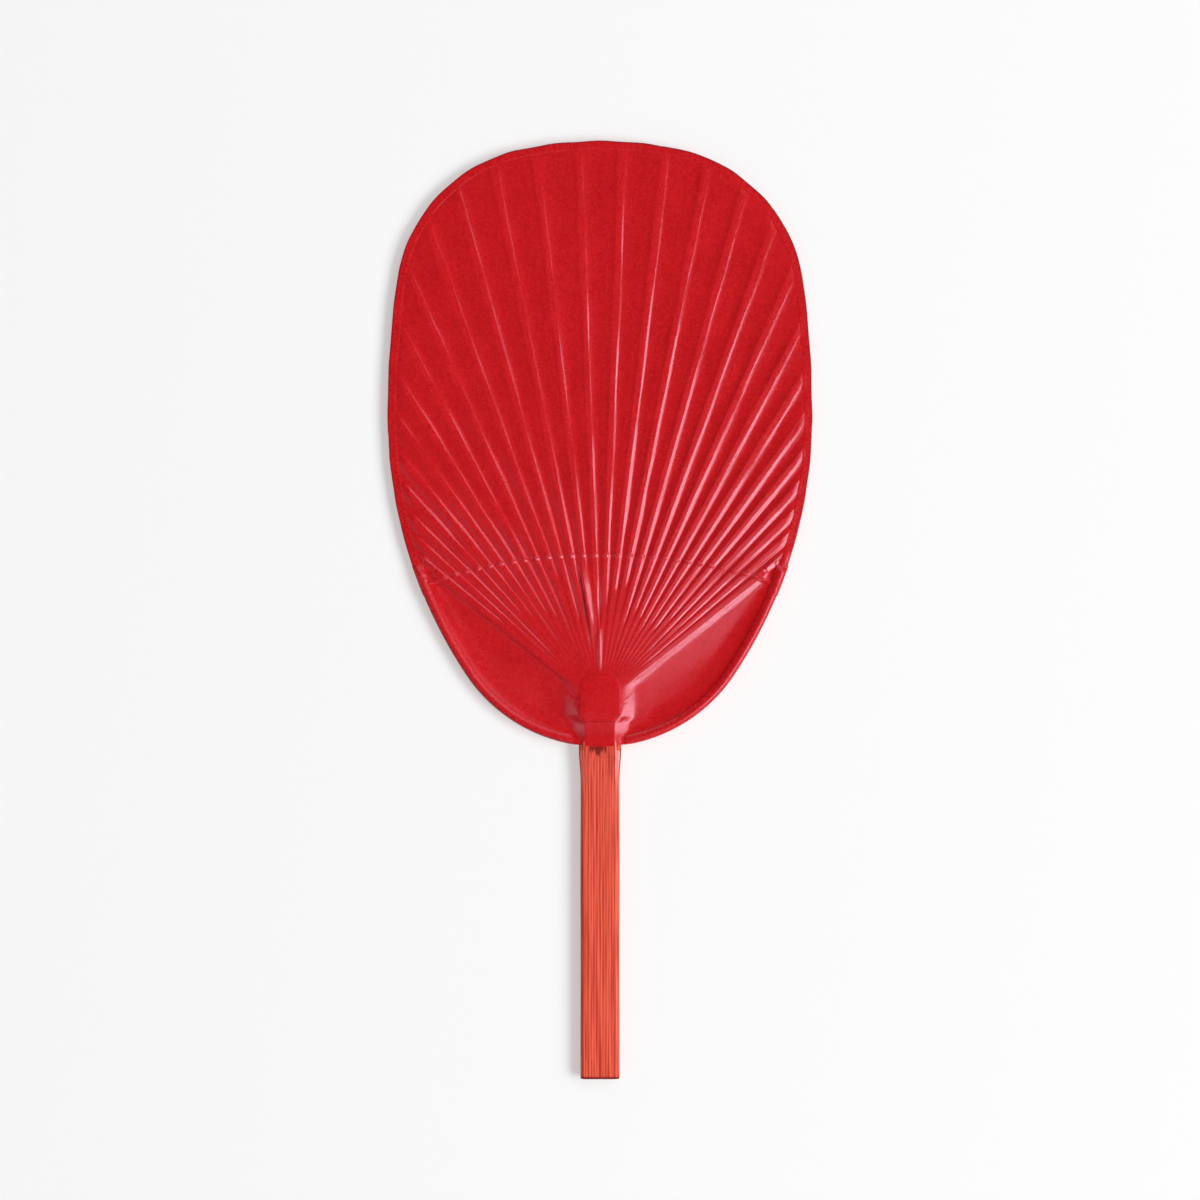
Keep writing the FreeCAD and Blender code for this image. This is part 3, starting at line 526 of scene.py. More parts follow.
def rib_column(side, rib, turn, number, reach, settings):
    """Angle of one column beside a rib: 0 on its axis, 5 at the foot of its flank, 6 half way to the next."""
    middle = RIB_ANGLES[rib]
    half_angle = float(gap_halves(np.array(rib), middle + turn * 0.001))
    if number == RIB_COLUMNS:
        return np.full(reach.shape, middle + turn * half_angle)
    half_gap = reach * half_angle
    crest = crest_half(side, rib, reach, half_gap)
    free = half_gap - crest
    if turn > 0:
        flank = flank_width(side, rib + 1, reach, free, settings)
        past = (0.08 * flank, 0.4 * flank, 0.75 * flank, flank)
    else:
        past = (0.02 * free, np.minimum(TUCK_WIDTH, 0.3 * free), 0.5 * free, 0.8 * free)
    aside = (0 * crest, 0.88 * crest) + tuple(crest + width for width in past)
    return middle + turn * aside[number] / np.maximum(reach, 1e-6)


def guard_column(number, reach):
    """Angle of one column on the outer flank of the guard."""
    middle = RIB_ANGLES[-1]
    limit = 0.5 * (math.pi - middle) * (number + 1) / len(GUARD_COLUMNS)
    return middle + np.minimum(GUARD_COLUMNS[number] / np.maximum(reach, 1e-6), limit)


def half_columns(side, reach, settings):
    """Angles of all columns from the midline round to the back of the neck, by row."""
    plan = [(rib, turn, number) for rib in range(HALF_RIBS, LAST_RIB + 1)
            for turn, numbers in ((-1, range(RIB_COLUMNS, 0, -1)), (1, range(RIB_COLUMNS)))
            for number in numbers if rib < LAST_RIB or turn < 0 or number == 0]
    columns = [rib_column(side, *spec, reach[:, n], settings) for n, spec in enumerate(plan)]
    columns += [guard_column(n, reach[:, len(columns) + n]) for n in range(len(GUARD_COLUMNS))]
    last = columns[-1]
    columns += [last + (math.pi - last) * n / LOBE_COLUMNS for n in range(1, LOBE_COLUMNS + 1)]
    return np.stack(columns, axis=1)


def thread_reach(turn):
    """Distance from the centre of the ribs to the thread, carried on evenly beyond its ends."""
    drop = THREAD_CENTRE - FAN_CENTRE
    last = RIB_ANGLES[-1] + 0.09
    reach = [np.sqrt(THREAD_RADIUS ** 2 - (drop * np.sin(at)) ** 2) + drop * np.cos(at)
             for at in (np.minimum(turn, last), np.array([last]))]
    return np.where(turn < last, reach[0], reach[1] / rim_reach(np.array([last])) * rim_reach(turn))


def sheet_rows(angle):
    """Distances of all rows from the centre of the ribs: close together at the thread and at the rim."""
    rim = rim_reach(angle) - edge_wave(angle)
    thread_at = thread_reach(angle)
    band = np.minimum(THREAD_BAND, 0.2 * (rim - thread_at))
    inner_edge = np.maximum(rim - END_BAND, thread_at + 0.45 * (rim - thread_at))
    knots = [np.zeros_like(angle), thread_at - band, thread_at + band, inner_edge, rim - 0.2]
    rows = [knots[0][:1]]
    for (count, crowding), low, high in zip(ROW_PLAN, knots[:-1], knots[1:]):
        for n in range(count):
            row = slice(len(rows), len(rows) + 1)
            rows.append(low[row] + (high - low)[row] * ((n + 1) / count) ** (1 / crowding))
    return np.concatenate(rows)


def paper_sheet(face, settings):
    """One sheet of paper, its rows and columns laid along the ribs, the thread and the rim."""
    sign, side = FACES[face]
    reaches = np.full((ROW_COUNT, HALF_COUNT), 100.0)
    for _ in range(4):
        angles = half_columns(side, reaches, settings)
        reaches = sheet_rows(angles)

    def shape(column, row):
        turn = column - HALF_COUNT + 1
        reach = reaches[row, np.abs(turn)]
        angle = angles[row, np.abs(turn)] * np.sign(turn)
        x, y = reach * np.sin(angle), FAN_CENTRE + reach * np.cos(angle)
        uneven = settings.cockle / MM * cockles(x, y, side) * ease(0.6, 3.0, rim_gap(x, y))
        height = paper_height(x, y, side, settings) + uneven
        return x, y, sign * height + lobe_sag(x, y)

    bm = grid_mesh(2 * HALF_COUNT - 2, ROW_COUNT - 1, shape, weld=1e-7)
    face_out(bm, Vector((0, 0, sign)))
    return bm


def matt_rim(x, y, z):
    """Where the paper over the bow is matt."""
    return ease(7.0, 3.5, rim_gap(x, y)) * (y < BOW_TIP_HEIGHT)


# Edging strips and ear patches

def rim_line(first, last, count, turn=1):
    """Points and outward directions along the right or left rim, between two lengths from the tip."""
    spots = []
    for length in np.linspace(first, last, count):
        for (cx, cy), radius, start, end in ARCS:
            span = radius * (start - end)
            if length <= span + 1e-6 or (cx, cy) == ARCS[-1][0]:
                angle = start - length / radius
                out_x, out_y = math.cos(angle), math.sin(angle)
                spots.append((cx + radius * out_x, cy + radius * out_y, out_x, out_y))
                break
            length -= span
    return np.array(spots) * (turn, 1, turn, 1)


def rim_length(height):
    """Length along the rim from the tip down to a height on the flank or the lobe."""
    total = 0.0
    for (cx, cy), radius, start, end in ARCS:
        low = cy + radius * math.sin(end)
        if low <= height:
            return total + radius * (start - math.asin((height - cy) / radius))
        total += radius * (start - end)
    return total


def edging(line, profile, drift):
    """A strip folded over the rim: a profile of gap and height, drifting a little, carried along a line."""
    profile = np.asarray(profile)

    def shape(column, row):
        spot = line[column]
        gap, height = drift(spot, profile[row, 0], profile[row, 1])
        return spot[:, 0] - gap * spot[:, 2], spot[:, 1] - gap * spot[:, 3], height

    bm = grid_mesh(len(line) - 1, len(profile) - 1, shape)
    bmesh.ops.recalc_face_normals(bm, faces=bm.faces)
    return bm


def rim_profile(radius, width):
    """Half round over the bow, then down along the paper of both faces to an edge that is pressed flat."""
    turns = np.linspace(-math.pi / 2, math.pi / 2, 15)
    outer = [(BOW_INSET - radius * math.cos(turn), radius * math.sin(turn)) for turn in turns]
    inner = []
    for share in (0.2, 0.4, 0.6, 0.8, 0.92, 1.0):
        paper = BOW_PAPER * math.exp(-(share * width / BOW_FALL) ** 2)
        inner.append((BOW_INSET + share * width, paper + (radius - BOW_PAPER) * (1 - share)))
    return [(gap, -height) for gap, height in reversed(inner)] + outer + inner


def top_edging(settings):
    """Strip from ear to ear round the tip, pressed onto the paper, uneven and nicked along its inner edge."""
    front = [(STRIP_WIDTH + 0.4, 0.19), (NICK_GAP, 0.28), (2.6, 0.33), (1.9, 0.37), (1.3, 0.4),
             (0.7, 0.4), (0.3, 0.35), (0.1, 0.24), (0.02, 0.1)]
    profile = front + [(0.0, 0.0)] + [(gap, -height) for gap, height in reversed(front)]
    ear = rim_length(EAR_HEIGHT)
    line = np.concatenate([rim_line(0.0, ear, RIM_STEPS, -1)[:0:-1], rim_line(0.0, ear, RIM_STEPS)])

    def drawn_in(spot, gap, height):
        angle = polar(spot[:, 0], spot[:, 1])[1]
        uneven = 0.22 * np.sin(angle * 41) * np.sin(angle * 17 + 1) * (gap > 3.0)
        nicked = (np.sin(angle * 977) > 0.86) & (np.abs(gap - NICK_GAP) < 0.1)
        nicks = 0.22 * nicked * (angle > 0.35) * (angle < 1.0)
        gap = gap + edge_wave(angle) + uneven
        x, y = spot[:, 0] - gap * spot[:, 2], spot[:, 1] - gap * spot[:, 3]
        swell = 0.5 * np.exp(-((y - 72) / 3.2) ** 2) * (x > 0)
        swell = swell * ease(0.4, 1.6, gap) * (1 - ease(2.2, 3.6, gap))
        for side, here in ((0, height > 0.2), (1, height < -0.2)):
            paper = paper_height(x, y, side, settings) + 0.08 * ease(3.6, 2.6, gap)
            covered = soft_max(np.abs(height), paper, 0.06)
            height = np.where(here, np.sign(height) * (covered + swell + nicks), height)
        return gap, height

    return edging(line, profile, drawn_in)


def bow_edging(turn):
    """Strip round one half of the bow, from the ear to the neck, where it is tucked in."""
    line = rim_line(rim_length(EAR_HEIGHT) + 0.3, rim_length(STRIP_LOW_END), RIM_STEPS, turn)

    def tucked(spot, gap, height):
        shrink = 1 - 0.12 * ease(13.0, 9.0, np.abs(spot[:, 0]))
        return BOW_INSET + (gap - BOW_INSET) * shrink, height * shrink

    return edging(line, rim_profile(1.75, 1.9), tucked)


def ear_cover(turn, seed):
    """Crinkled patch round one tip of the bow."""
    ear = rim_length(EAR_HEIGHT)
    line = rim_line(ear - 4.2, ear + 8.2, EAR_STEPS, turn)

    def crinkled(spot, gap, height):
        bend = np.array([noise.noise((px / 1.6, py / 1.6, seed + pz / 1.2))
                         for px, py, pz in zip(spot[:, 0] - gap, spot[:, 1], height)])
        height = height * (0.24 + 0.76 * ease(69.5, 65.6, spot[:, 1]))
        return gap, height + np.sign(height) * 0.16 * bend

    return edging(line, rim_profile(1.93, 2.3), crinkled)


def top_edge_painted_shade(x, y, z):
    """Painted shade along the outer fold of the top strip, darkest at the left and fading out to the right,
    towards the light.
    """
    angle = polar(x, y)[1]
    return (1 - ease(0.12, 0.5, rim_gap(x, y) - edge_wave(angle))) * (1 - 0.8 * ease(0.2, 0.9, angle))


def bow_edge_painted_shade(x, y, z):
    """Painted shade along the outer fold of the strip round the bow, on the left only, the side away from the
    light.
    """
    return 0.85 * (1 - ease(0.2, 0.55, rim_gap(x, y))) * (x < 0)


# Neck patches

def neck_patch(face, settings):
    """Shield-shaped patch that lies on the paper over the foot of the ribs."""
    sign, side = FACES[face]

    def shape(column, row):
        across = 2 * column / PATCH_COLUMNS - 1
        y = PATCH_BOTTOM + (PATCH_TOP - PATCH_BOTTOM) * row / PATCH_ROWS
        width = PATCH_FOOT + (PATCH_HALF - PATCH_FOOT) * climb(PATCH_BOTTOM, PATCH_BOTTOM + PATCH_CORNER, y)
        over = np.maximum(y - (PATCH_TOP - PATCH_HALF), 0)
        arch = np.sqrt(np.maximum(PATCH_HALF ** 2 - over ** 2, 0.0004))
        x = np.minimum(width, arch) * across
        lift = 0.03 + 0.19 * (1 - across ** 6) * ease(PATCH_TOP, PATCH_TOP - 3, y)
        height = paper_height(x, y, side, settings) + lift
        return x, y, sign * np.minimum(height, LIFT - 0.01)

    bm = grid_mesh(PATCH_COLUMNS, PATCH_ROWS, shape, weld=1e-6)
    face_out(bm, Vector((0, 0, sign)))
    return bm


def patch_edge_painted_shadow(x, y, z):
    """Painted shadow along the lower edge of a patch."""
    return 0.7 * ease(PATCH_BOTTOM + 0.35, PATCH_BOTTOM, y)


# Bamboo and thread

def handle_sizes(y):
    """Half width, half thickness and bevel of the handle by height."""
    neck = ease(-NECK_DROP - NECK_TAPER, 0, y)
    half = GRIP_HALF + (NECK_HALF - GRIP_HALF) * neck
    half = half + (SHOULDER_HALF - 1.2 - NECK_HALF) * climb(NECK_TOP, SHOULDER_TOP, y)
    thick = GRIP_THICK + (NECK_THICK - GRIP_THICK) * neck
    thick = np.minimum(thick, rib_thickness(y) - 0.06 * ease(-1, 1, y))
    bevel = GRIP_BEVEL + (NECK_BEVEL - GRIP_BEVEL) * ease(-16, -2, y)
    bevel = np.minimum(bevel, 0.8 * thick)
    worn = 1 - ease(-GRIP_LENGTH, 0.7 - GRIP_LENGTH, y)
    return half - 0.06 * worn, thick - 0.45 * worn, bevel


def fibres(x, y, z):
    """How far the fibres of the bamboo stand out: fine ones 0.45 mm wide on broad ones of 1.7 mm."""
    return np.array([noise.noise((px / 0.45, py / 38, pz)) + 0.6 * noise.noise((px / 1.7, py / 60, 5 + pz))
                     for px, py, pz in zip(x, y, z)])


def handle_body(settings):
    """Flat handle, neck and shoulder from one bamboo strip, with fibres standing out on it."""
    counts = (FACE_STEPS, BEVEL_STEPS, SIDE_STEPS, BEVEL_STEPS) * 2
    around = sum(counts)
    lengths = np.concatenate([
        np.array([0, 0.15, 0.4, 0.7]) - GRIP_LENGTH,
        np.linspace(1.2 - GRIP_LENGTH, -10, 90),
        np.linspace(-9.7, SHOULDER_TOP, 100),
    ])

    def shape(column, row):
        y = lengths[row]
        half, thick, bevel = handle_sizes(y)
        steep = 0.8 - 0.34 * ease(-26, -5, y) * ease(0.2, -1.8, y)
        across, up = half - bevel, thick - steep * bevel
        corners = [(-across, thick), (across, thick), (half, up), (half, -up),
                   (across, -thick), (-across, -thick), (-half, -up), (-half, up)]
        step = column % around
        x, z = np.zeros(len(step)), np.zeros(len(step))
        begin = 0
        for number, count in enumerate(counts):
            here = (step >= begin) & (step < begin + count)
            share = (step - begin) / count
            (x0, z0), (x1, z1) = corners[number], corners[(number + 1) % len(corners)]
            x = np.where(here, x0 + (x1 - x0) * share, x)
            z = np.where(here, z0 + (z1 - z0) * share, z)
            begin += count
        below = 1 - ease(-3, 1, y)
        on_face = (np.abs(z) / thick) ** 6
        bent = np.array([noise.noise((4.0, at / 26, 1.5)) for at in y])
        z = z + np.sign(z) * settings.fibre_depth / MM * fibres(x, y, z) * on_face * below
        return x * (1 + 0.012 * bent * below), y, z

    bm = grid_mesh(around, len(lengths) - 1, shape, weld=1e-6)
    close_ends(bm)
    return bm


def rim_end(angle):
    """Distance from the centre of the ribs at which a rib stops inside the rim."""
    low, high = 20.0, float(rim_reach(np.array([angle]))[0])
    for _ in range(30):
        middle = (low + high) / 2
        spot = np.array([middle * math.sin(angle)]), np.array([FAN_CENTRE + middle * math.cos(angle)])
        if rim_gap(*spot)[0] > RIB_SETBACK:
            low = middle
        else:
            high = middle
    return low


def add_ribs(bm):
    """Ribs as tapered strips that fan out from the shoulder, inside the two sheets."""
    for number, angle in enumerate(RIB_ANGLES):
        guard = number in (0, LAST_RIB)
        end = GUARD_REACH if guard else rim_end(angle)
        for vert in bmesh.ops.create_cube(bm, size=2.0)["verts"]:
            reach = end if vert.co.y > 0 else RIB_START - 1.5
            wide = RIB_FIT_WIDE * (GUARD_HALF if guard else float(rib_half(reach)))
            height = FAN_CENTRE + reach * math.cos(angle)
            thick = RIB_FIT_THICK * float(rib_thickness(height))
            aside = vert.co.x * wide
            spot_x = reach * math.sin(angle) + aside * math.cos(angle)
            vert.co = place(spot_x, height - aside * math.sin(angle), vert.co.z * thick)


def stain_and_painted_shade(x, y, z):
    """Where the bamboo is darker: along the sides, at the end of the butt, where painted shade stands for the
    shadow under it, and in a blot of stain under the front patch.
    """
    half = handle_sizes(y)[0]
    sides = 0.8 * ease(half - 0.25, half - 0.02, np.abs(x)) * (y < 0)
    # Painted shade along the end of the butt
    butt_shade = ease(1.0 - GRIP_LENGTH, 0.6 - GRIP_LENGTH, y)
    ragged = 0.22 * np.sin(2.1 * x) + 0.12 * np.sin(5.3 * x)
    blot = ease(1.0, 0.6, np.hypot((x + 0.8) / 3.4, (y + 0.4) / 2.9) + ragged)
    return np.clip(sides + butt_shade + 0.95 * blot * (z > 0), 0, 1)


def thread_run(turn):
    """One pass of the thread, over one rib and under the next."""
    end = (HALF_RIBS + 1) * RIB_PITCH

    def shape(column, row):
        step = end * (2 * column / THREAD_STEPS - 1)
        woven = np.abs(step) < HALF_RIBS * RIB_PITCH
        level = turn * THREAD_SWING * np.sin(math.pi * step / RIB_PITCH) * woven
        around = 2 * math.pi * row / THREAD_SIDES
        radius = THREAD_RADIUS + THREAD_HALF * np.cos(around)
        x = radius * np.sin(step / THREAD_RADIUS)
        y = THREAD_CENTRE + radius * np.cos(step / THREAD_RADIUS)
        return x, y, level + THREAD_HALF * np.sin(around)

    bm = grid_mesh(THREAD_STEPS, THREAD_SIDES, shape, weld=1e-6)
    close_ends(bm)
    return bm


# Materials

def linear(code):
    """Linear colour from an sRGB hex code."""
    channels = [int(code[n:n + 2], 16) / 255 for n in (1, 3, 5)]
    return [c / 12.92 if c <= 0.04045 else ((c + 0.055) / 1.055) ** 2.4 for c in channels] + [1.0]


def add_node(tree, kind, settings=None, links=None):
    """Add one node, set its attributes and its inputs by name or number, and link sockets into it."""
    node = tree.nodes.new(kind)
    for key, value in (settings or {}).items():
        if isinstance(key, int) or key in node.inputs:
            node.inputs[key].default_value = value
        else:
            setattr(node, key, value)
    for key, socket in (links or {}).items():
        tree.links.new(socket, node.inputs[key])
    return node


def new_material(name):
    """Empty material with a Principled surface."""
    material = bpy.data.materials.new(name)
    material.use_nodes = True
    tree = material.node_tree
    return material, tree, tree.nodes["Principled BSDF"]


# Dyed washi, lacquered thin: red mottled by kozo fibres, pinkish gloss broken by brush marks along the ribs
def paper_material(name, settings, gloss, shine, matt_over_bow=False):
    """Red paper of the given gloss and shine, with painted shade along folded and lower edges, and matt over
    the bow.
    """
    material, tree, surface = new_material(name)
    where = add_node(tree, "ShaderNodeTexCoord").outputs["Object"]
    centre = (0.0, (FAN_CENTRE - MIDDLE) * MM, 0.0)
    spoke = add_node(tree, "ShaderNodeVectorMath", {"operation": "SUBTRACT", 1: centre}, {0: where})
    parts = add_node(tree, "ShaderNodeSeparateXYZ", links={0: spoke.outputs[0]})
    turn = add_node(tree, "ShaderNodeMath", {"operation": "ARCTAN2"},
                    {0: parts.outputs["X"], 1: parts.outputs["Y"]})
    reach = add_node(tree, "ShaderNodeVectorMath", {"operation": "LENGTH"}, {0: spoke.outputs[0]})
    rays = add_node(tree, "ShaderNodeCombineXYZ", links={"X": turn.outputs[0], "Y": reach.outputs["Value"]})
    stroke = (BRUSH_REACH / BRUSH_WIDTH, 1 / (BRUSH_LENGTH * MM), 1.0)
    drawn = add_node(tree, "ShaderNodeMapping", {"Scale": stroke}, {"Vector": rays.outputs[0]})
    brush = add_node(tree, "ShaderNodeTexNoise", {"Scale": 1.0, "Detail": 3.0}, {"Vector": drawn.outputs[0]})
    cloud = add_node(tree, "ShaderNodeTexNoise", {"Scale": 1 / (DYE_CLOUD * MM), "Detail": 4.0},
                     {"Vector": where})
    fibre = add_node(tree, "ShaderNodeTexNoise",
                     {"Scale": 1 / (KOZO_FIBRE * MM), "Detail": 5.0, "Distortion": 1.2}, {"Vector": where})
    mottle = add_node(tree, "ShaderNodeMix", {"data_type": "FLOAT", "Factor": 0.78},
                      {"A": cloud.outputs["Fac"], "B": fibre.outputs["Fac"]})
    dyed = add_node(tree, "ShaderNodeMapRange", {"From Min": 0.38, "From Max": 0.62},
                    {"Value": mottle.outputs[0]})
    red = add_node(tree, "ShaderNodeMix",
                   {"data_type": "RGBA", 6: (*settings.deep, 1.0), 7: (*settings.pale, 1.0)},
                   {0: dyed.outputs[0]})
    # Painted shade: the fold mark darkens the red towards deep maroon along edges that turn away from the
    # light
    fold = add_node(tree, "ShaderNodeAttribute", {"attribute_name": "fold"})
    edge_painted_shade = add_node(tree, "ShaderNodeMix", {"data_type": "RGBA", 7: linear("#600c16")},
                      {0: fold.outputs["Fac"], 6: red.outputs[2]})
    tree.links.new(edge_painted_shade.outputs[2], surface.inputs["Base Color"])
    grain = add_node(tree, "ShaderNodeMath", {"operation": "ADD"},
                     {0: fibre.outputs["Fac"], 1: brush.outputs["Fac"]})
    rough = add_node(tree, "ShaderNodeMapRange",
                     {"From Min": 0.6, "From Max": 1.4, "To Min": gloss - 0.06, "To Max": gloss + 0.08},
                     {"Value": grain.outputs[0]})
    tree.links.new(rough.outputs[0], surface.inputs["Roughness"])
    bump = add_node(tree, "ShaderNodeBump", {"Strength": 0.3, "Distance": 0.12 * MM},
                    {"Height": grain.outputs[0]})
    tree.links.new(bump.outputs["Normal"], surface.inputs["Normal"])
    surface.inputs["Specular Tint"].default_value = linear("#ffe7ff")
    surface.inputs["Specular IOR Level"].default_value = shine
    if matt_over_bow:
        matt = add_node(tree, "ShaderNodeAttribute", {"attribute_name": "matt"})
        dulled = add_node(tree, "ShaderNodeMapRange", {"To Min": shine, "To Max": 0.3 * shine},
                          {"Value": matt.outputs["Fac"]})
        tree.links.new(dulled.outputs[0], surface.inputs["Specular IOR Level"])
    return material


# Split bamboo, rubbed with red stain: pale fibres and dark pith lines, deeper red and glossy by the neck
def stained_bamboo(settings):
    """Red bamboo with its fibres along the handle."""
    material, tree, surface = new_material("stained split bamboo")
    where = add_node(tree, "ShaderNodeTexCoord").outputs["Object"]
    grain = (1 / MM, 1 / (STREAK_STRETCH * MM), 1 / MM)
    along = add_node(tree, "ShaderNodeMapping", {"Scale": grain}, {"Vector": where}).outputs["Vector"]
    fine = add_node(tree, "ShaderNodeTexNoise", {"Scale": 1 / STREAK_WIDTH, "Detail": 3.0}, {"Vector": along})
    lines = add_node(tree, "ShaderNodeTexWave",
                     {"wave_type": "BANDS", "bands_direction": "X", "Scale": math.pi / 10 / PITH_SPACING,
                      "Distortion": 3.0, "Detail": 2.0, "Detail Scale": 1.2}, {"Vector": along})
    both = add_node(tree, "ShaderNodeMix", {"data_type": "FLOAT", "Factor": 0.16},
                    {"A": fine.outputs["Fac"], "B": lines.outputs["Fac"]})
    soaked = add_node(tree, "ShaderNodeMapRange", {"From Min": 0.28, "From Max": 0.66},
                      {"Value": both.outputs[0]})
    streaks = add_node(tree, "ShaderNodeMix",
                       {"data_type": "RGBA", 6: (*settings.stain_deep, 1.0), 7: (*settings.stain_pale, 1.0)},
                       {0: soaked.outputs[0]})
    height = add_node(tree, "ShaderNodeSeparateXYZ", links={"Vector": where})
    near_neck = add_node(tree, "ShaderNodeMapRange", {"From Min": -85 * MM, "From Max": -55 * MM},
                         {"Value": height.outputs["Y"]})
    reddened = add_node(tree, "ShaderNodeMix",
                        {"data_type": "RGBA", "blend_type": "MULTIPLY", 7: linear("#fdeaf3")},
                        {0: near_neck.outputs["Result"], 6: streaks.outputs[2]})
    # Darker where the dark mark holds a blot of stain, the darker sides and painted shade at the butt
    dark = add_node(tree, "ShaderNodeAttribute", {"attribute_name": "dark"})
    darkened = add_node(tree, "ShaderNodeMix", {"data_type": "RGBA", 7: linear("#7c0607")},
                        {0: dark.outputs["Fac"], 6: reddened.outputs[2]})
    tree.links.new(darkened.outputs[2], surface.inputs["Base Color"])
    bump = add_node(tree, "ShaderNodeBump", {"Strength": 0.3, "Distance": 0.08 * MM},
                    {"Height": fine.outputs["Fac"]})
    tree.links.new(bump.outputs["Normal"], surface.inputs["Normal"])
    for socket, grip, neck in (("Roughness", 0.46, 0.26), ("Specular IOR Level", 0.2, 0.5)):
        lacquer = add_node(tree, "ShaderNodeMapRange", {"To Min": grip, "To Max": neck},
                           {"Value": near_neck.outputs["Result"]})
        tree.links.new(lacquer.outputs["Result"], surface.inputs[socket])
    return material


def plain_material(name, code, roughness):
    """One even colour."""
    material, _, surface = new_material(name)
    surface.inputs["Base Color"].default_value = linear(code)
    surface.inputs["Roughness"].default_value = roughness
    return material


# Painted white board: matt, without any shine, a little brighter to the camera than its light makes it
def white_board(colour):
    """Table top of one colour."""
    material, tree, surface = new_material("matt white table top")
    surface.inputs["Base Color"].default_value = colour
    surface.inputs["Roughness"].default_value = 1.0
    surface.inputs["Specular IOR Level"].default_value = 0.0
    path = add_node(tree, "ShaderNodeLightPath")
    share = add_node(tree, "ShaderNodeMath", {"operation": "MULTIPLY", 1: TABLE_GLOW},
                     {0: path.outputs["Is Camera Ray"]})
    glow = add_node(tree, "ShaderNodeEmission", {"Color": colour})
    seen = add_node(tree, "ShaderNodeMixShader",
                    links={0: share.outputs[0], 1: surface.outputs[0], 2: glow.outputs[0]})
    tree.links.new(seen.outputs[0], tree.nodes["Material Output"].inputs["Surface"])
    return material


class UchiwaPaper(PropertyGroup):
    """Paper of the blade."""

    flank: FloatProperty(name="Flank width", description="Width of the drop on the right of each rib",
                         default=0.0011, min=0.0004, max=0.003, unit="LENGTH", subtype="DISTANCE")
    cockle: FloatProperty(name="Cockle", description="Unevenness of the pasted paper", default=0.00005,
                          unit="LENGTH", subtype="DISTANCE")
    pale: FloatVectorProperty(name="Paper, pale", description="Lighter red of the paper", subtype="COLOR",
                              default=linear("#ce161b")[:3], min=0.0, max=1.0)
    deep: FloatVectorProperty(name="Paper, deep", description="Darker red of the paper", subtype="COLOR",
                              default=linear("#b80c12")[:3], min=0.0, max=1.0)


class UchiwaBamboo(PropertyGroup):
    """Bamboo of the handle."""

    fibre_depth: FloatProperty(name="Fibre depth", description="How far the fibres stand out on the handle",
                               default=0.00003, unit="LENGTH", subtype="DISTANCE")
    stain_pale: FloatVectorProperty(name="Stain, pale", description="Lighter streaks of the stained bamboo",
                                    subtype="COLOR", default=linear("#f2654b")[:3], min=0.0, max=1.0)
    stain_deep: FloatVectorProperty(name="Stain, deep", description="Darker streaks of the stained bamboo",
                                    subtype="COLOR", default=linear("#b02618")[:3], min=0.0, max=1.0)


class UchiwaStage(PropertyGroup):
    """Studio round the fan."""

    key_power: FloatProperty(name="Key light", default=302.4, unit="POWER",
                             description="Power of the softbox on the right, in which the cards share")
    fill_power: FloatProperty(name="Fill light", default=80.64, unit="POWER",
                              description="Power in which the three bounce cards share")
    floor: FloatVectorProperty(name="Floor", description="Colour of the table top", subtype="COLOR",
                               default=linear("#f7f7f7")[:3], min=0.0, max=1.0)


class UCHIWA_OT_paper(Operator):
    """Lay the front and the back sheet over ribs, thread and bow"""

    bl_idname = "uchiwa.paper"
    bl_label = "Paper sheets"

    def execute(self, context):
        settings = context.scene.uchiwa_paper
        material = paper_material("lacquered red washi", settings, gloss=0.21, shine=0.6, matt_over_bow=True)
        for face in FACES:
            bm = paper_sheet(face, settings)
            made = piece(f"paper_{face}", bm, material, f"{face}_paper")
            thicken(made, SHEET)
            mark(made, "matt", matt_rim)
        return {"FINISHED"}


class UCHIWA_OT_edging(Operator):
    """Fold the edging strips over the rim and the small patches over the tips of the bow"""

    bl_idname = "uchiwa.edging"
    bl_label = "Edging and ear patches"

    def execute(self, context):
        settings = context.scene.uchiwa_paper
        material = paper_material("red edging paper, brushed on", settings, gloss=0.26, shine=0.42)
        top = piece("edging_top", top_edging(settings), material, "rim_strip_top")
        thicken(top, STRIP)
        # Painted shade along the outer fold of the top strip
        mark(top, "fold", top_edge_painted_shade)
        for name, turn, seed in (("right", 1, 7.0), ("left", -1, 2.0)):
            bm = bow_edging(turn)
            strip = piece(f"edging_bow_{name}", bm, material, f"rim_strip_{name}")
            thicken(strip, STRIP)
            # Painted shade along the outer fold of the bow strip, on the left side only
            mark(strip, "fold", bow_edge_painted_shade)
            bm = ear_cover(turn, seed)
            cover = piece(f"ear_cover_{name}", bm, material, f"ear_patch_{name}")
            thicken(cover, EAR_COVER)
        return {"FINISHED"}


class UCHIWA_OT_patches(Operator):
    """Paste the two patches over the foot of the ribs"""

    bl_idname = "uchiwa.patches"
    bl_label = "Neck patches"

    def execute(self, context):
        settings = context.scene.uchiwa_paper
        material = paper_material("red patch paper, pasted", settings, gloss=0.22, shine=0.4)
        for face in FACES:
            bm = neck_patch(face, settings)
            made = piece(f"patch_{face}", bm, material, f"neck_patch_{face}")
            thicken(made, PATCH)
            # Painted shadow along the lower edge of the patch
            mark(made, "fold", patch_edge_painted_shadow)
        return {"FINISHED"}


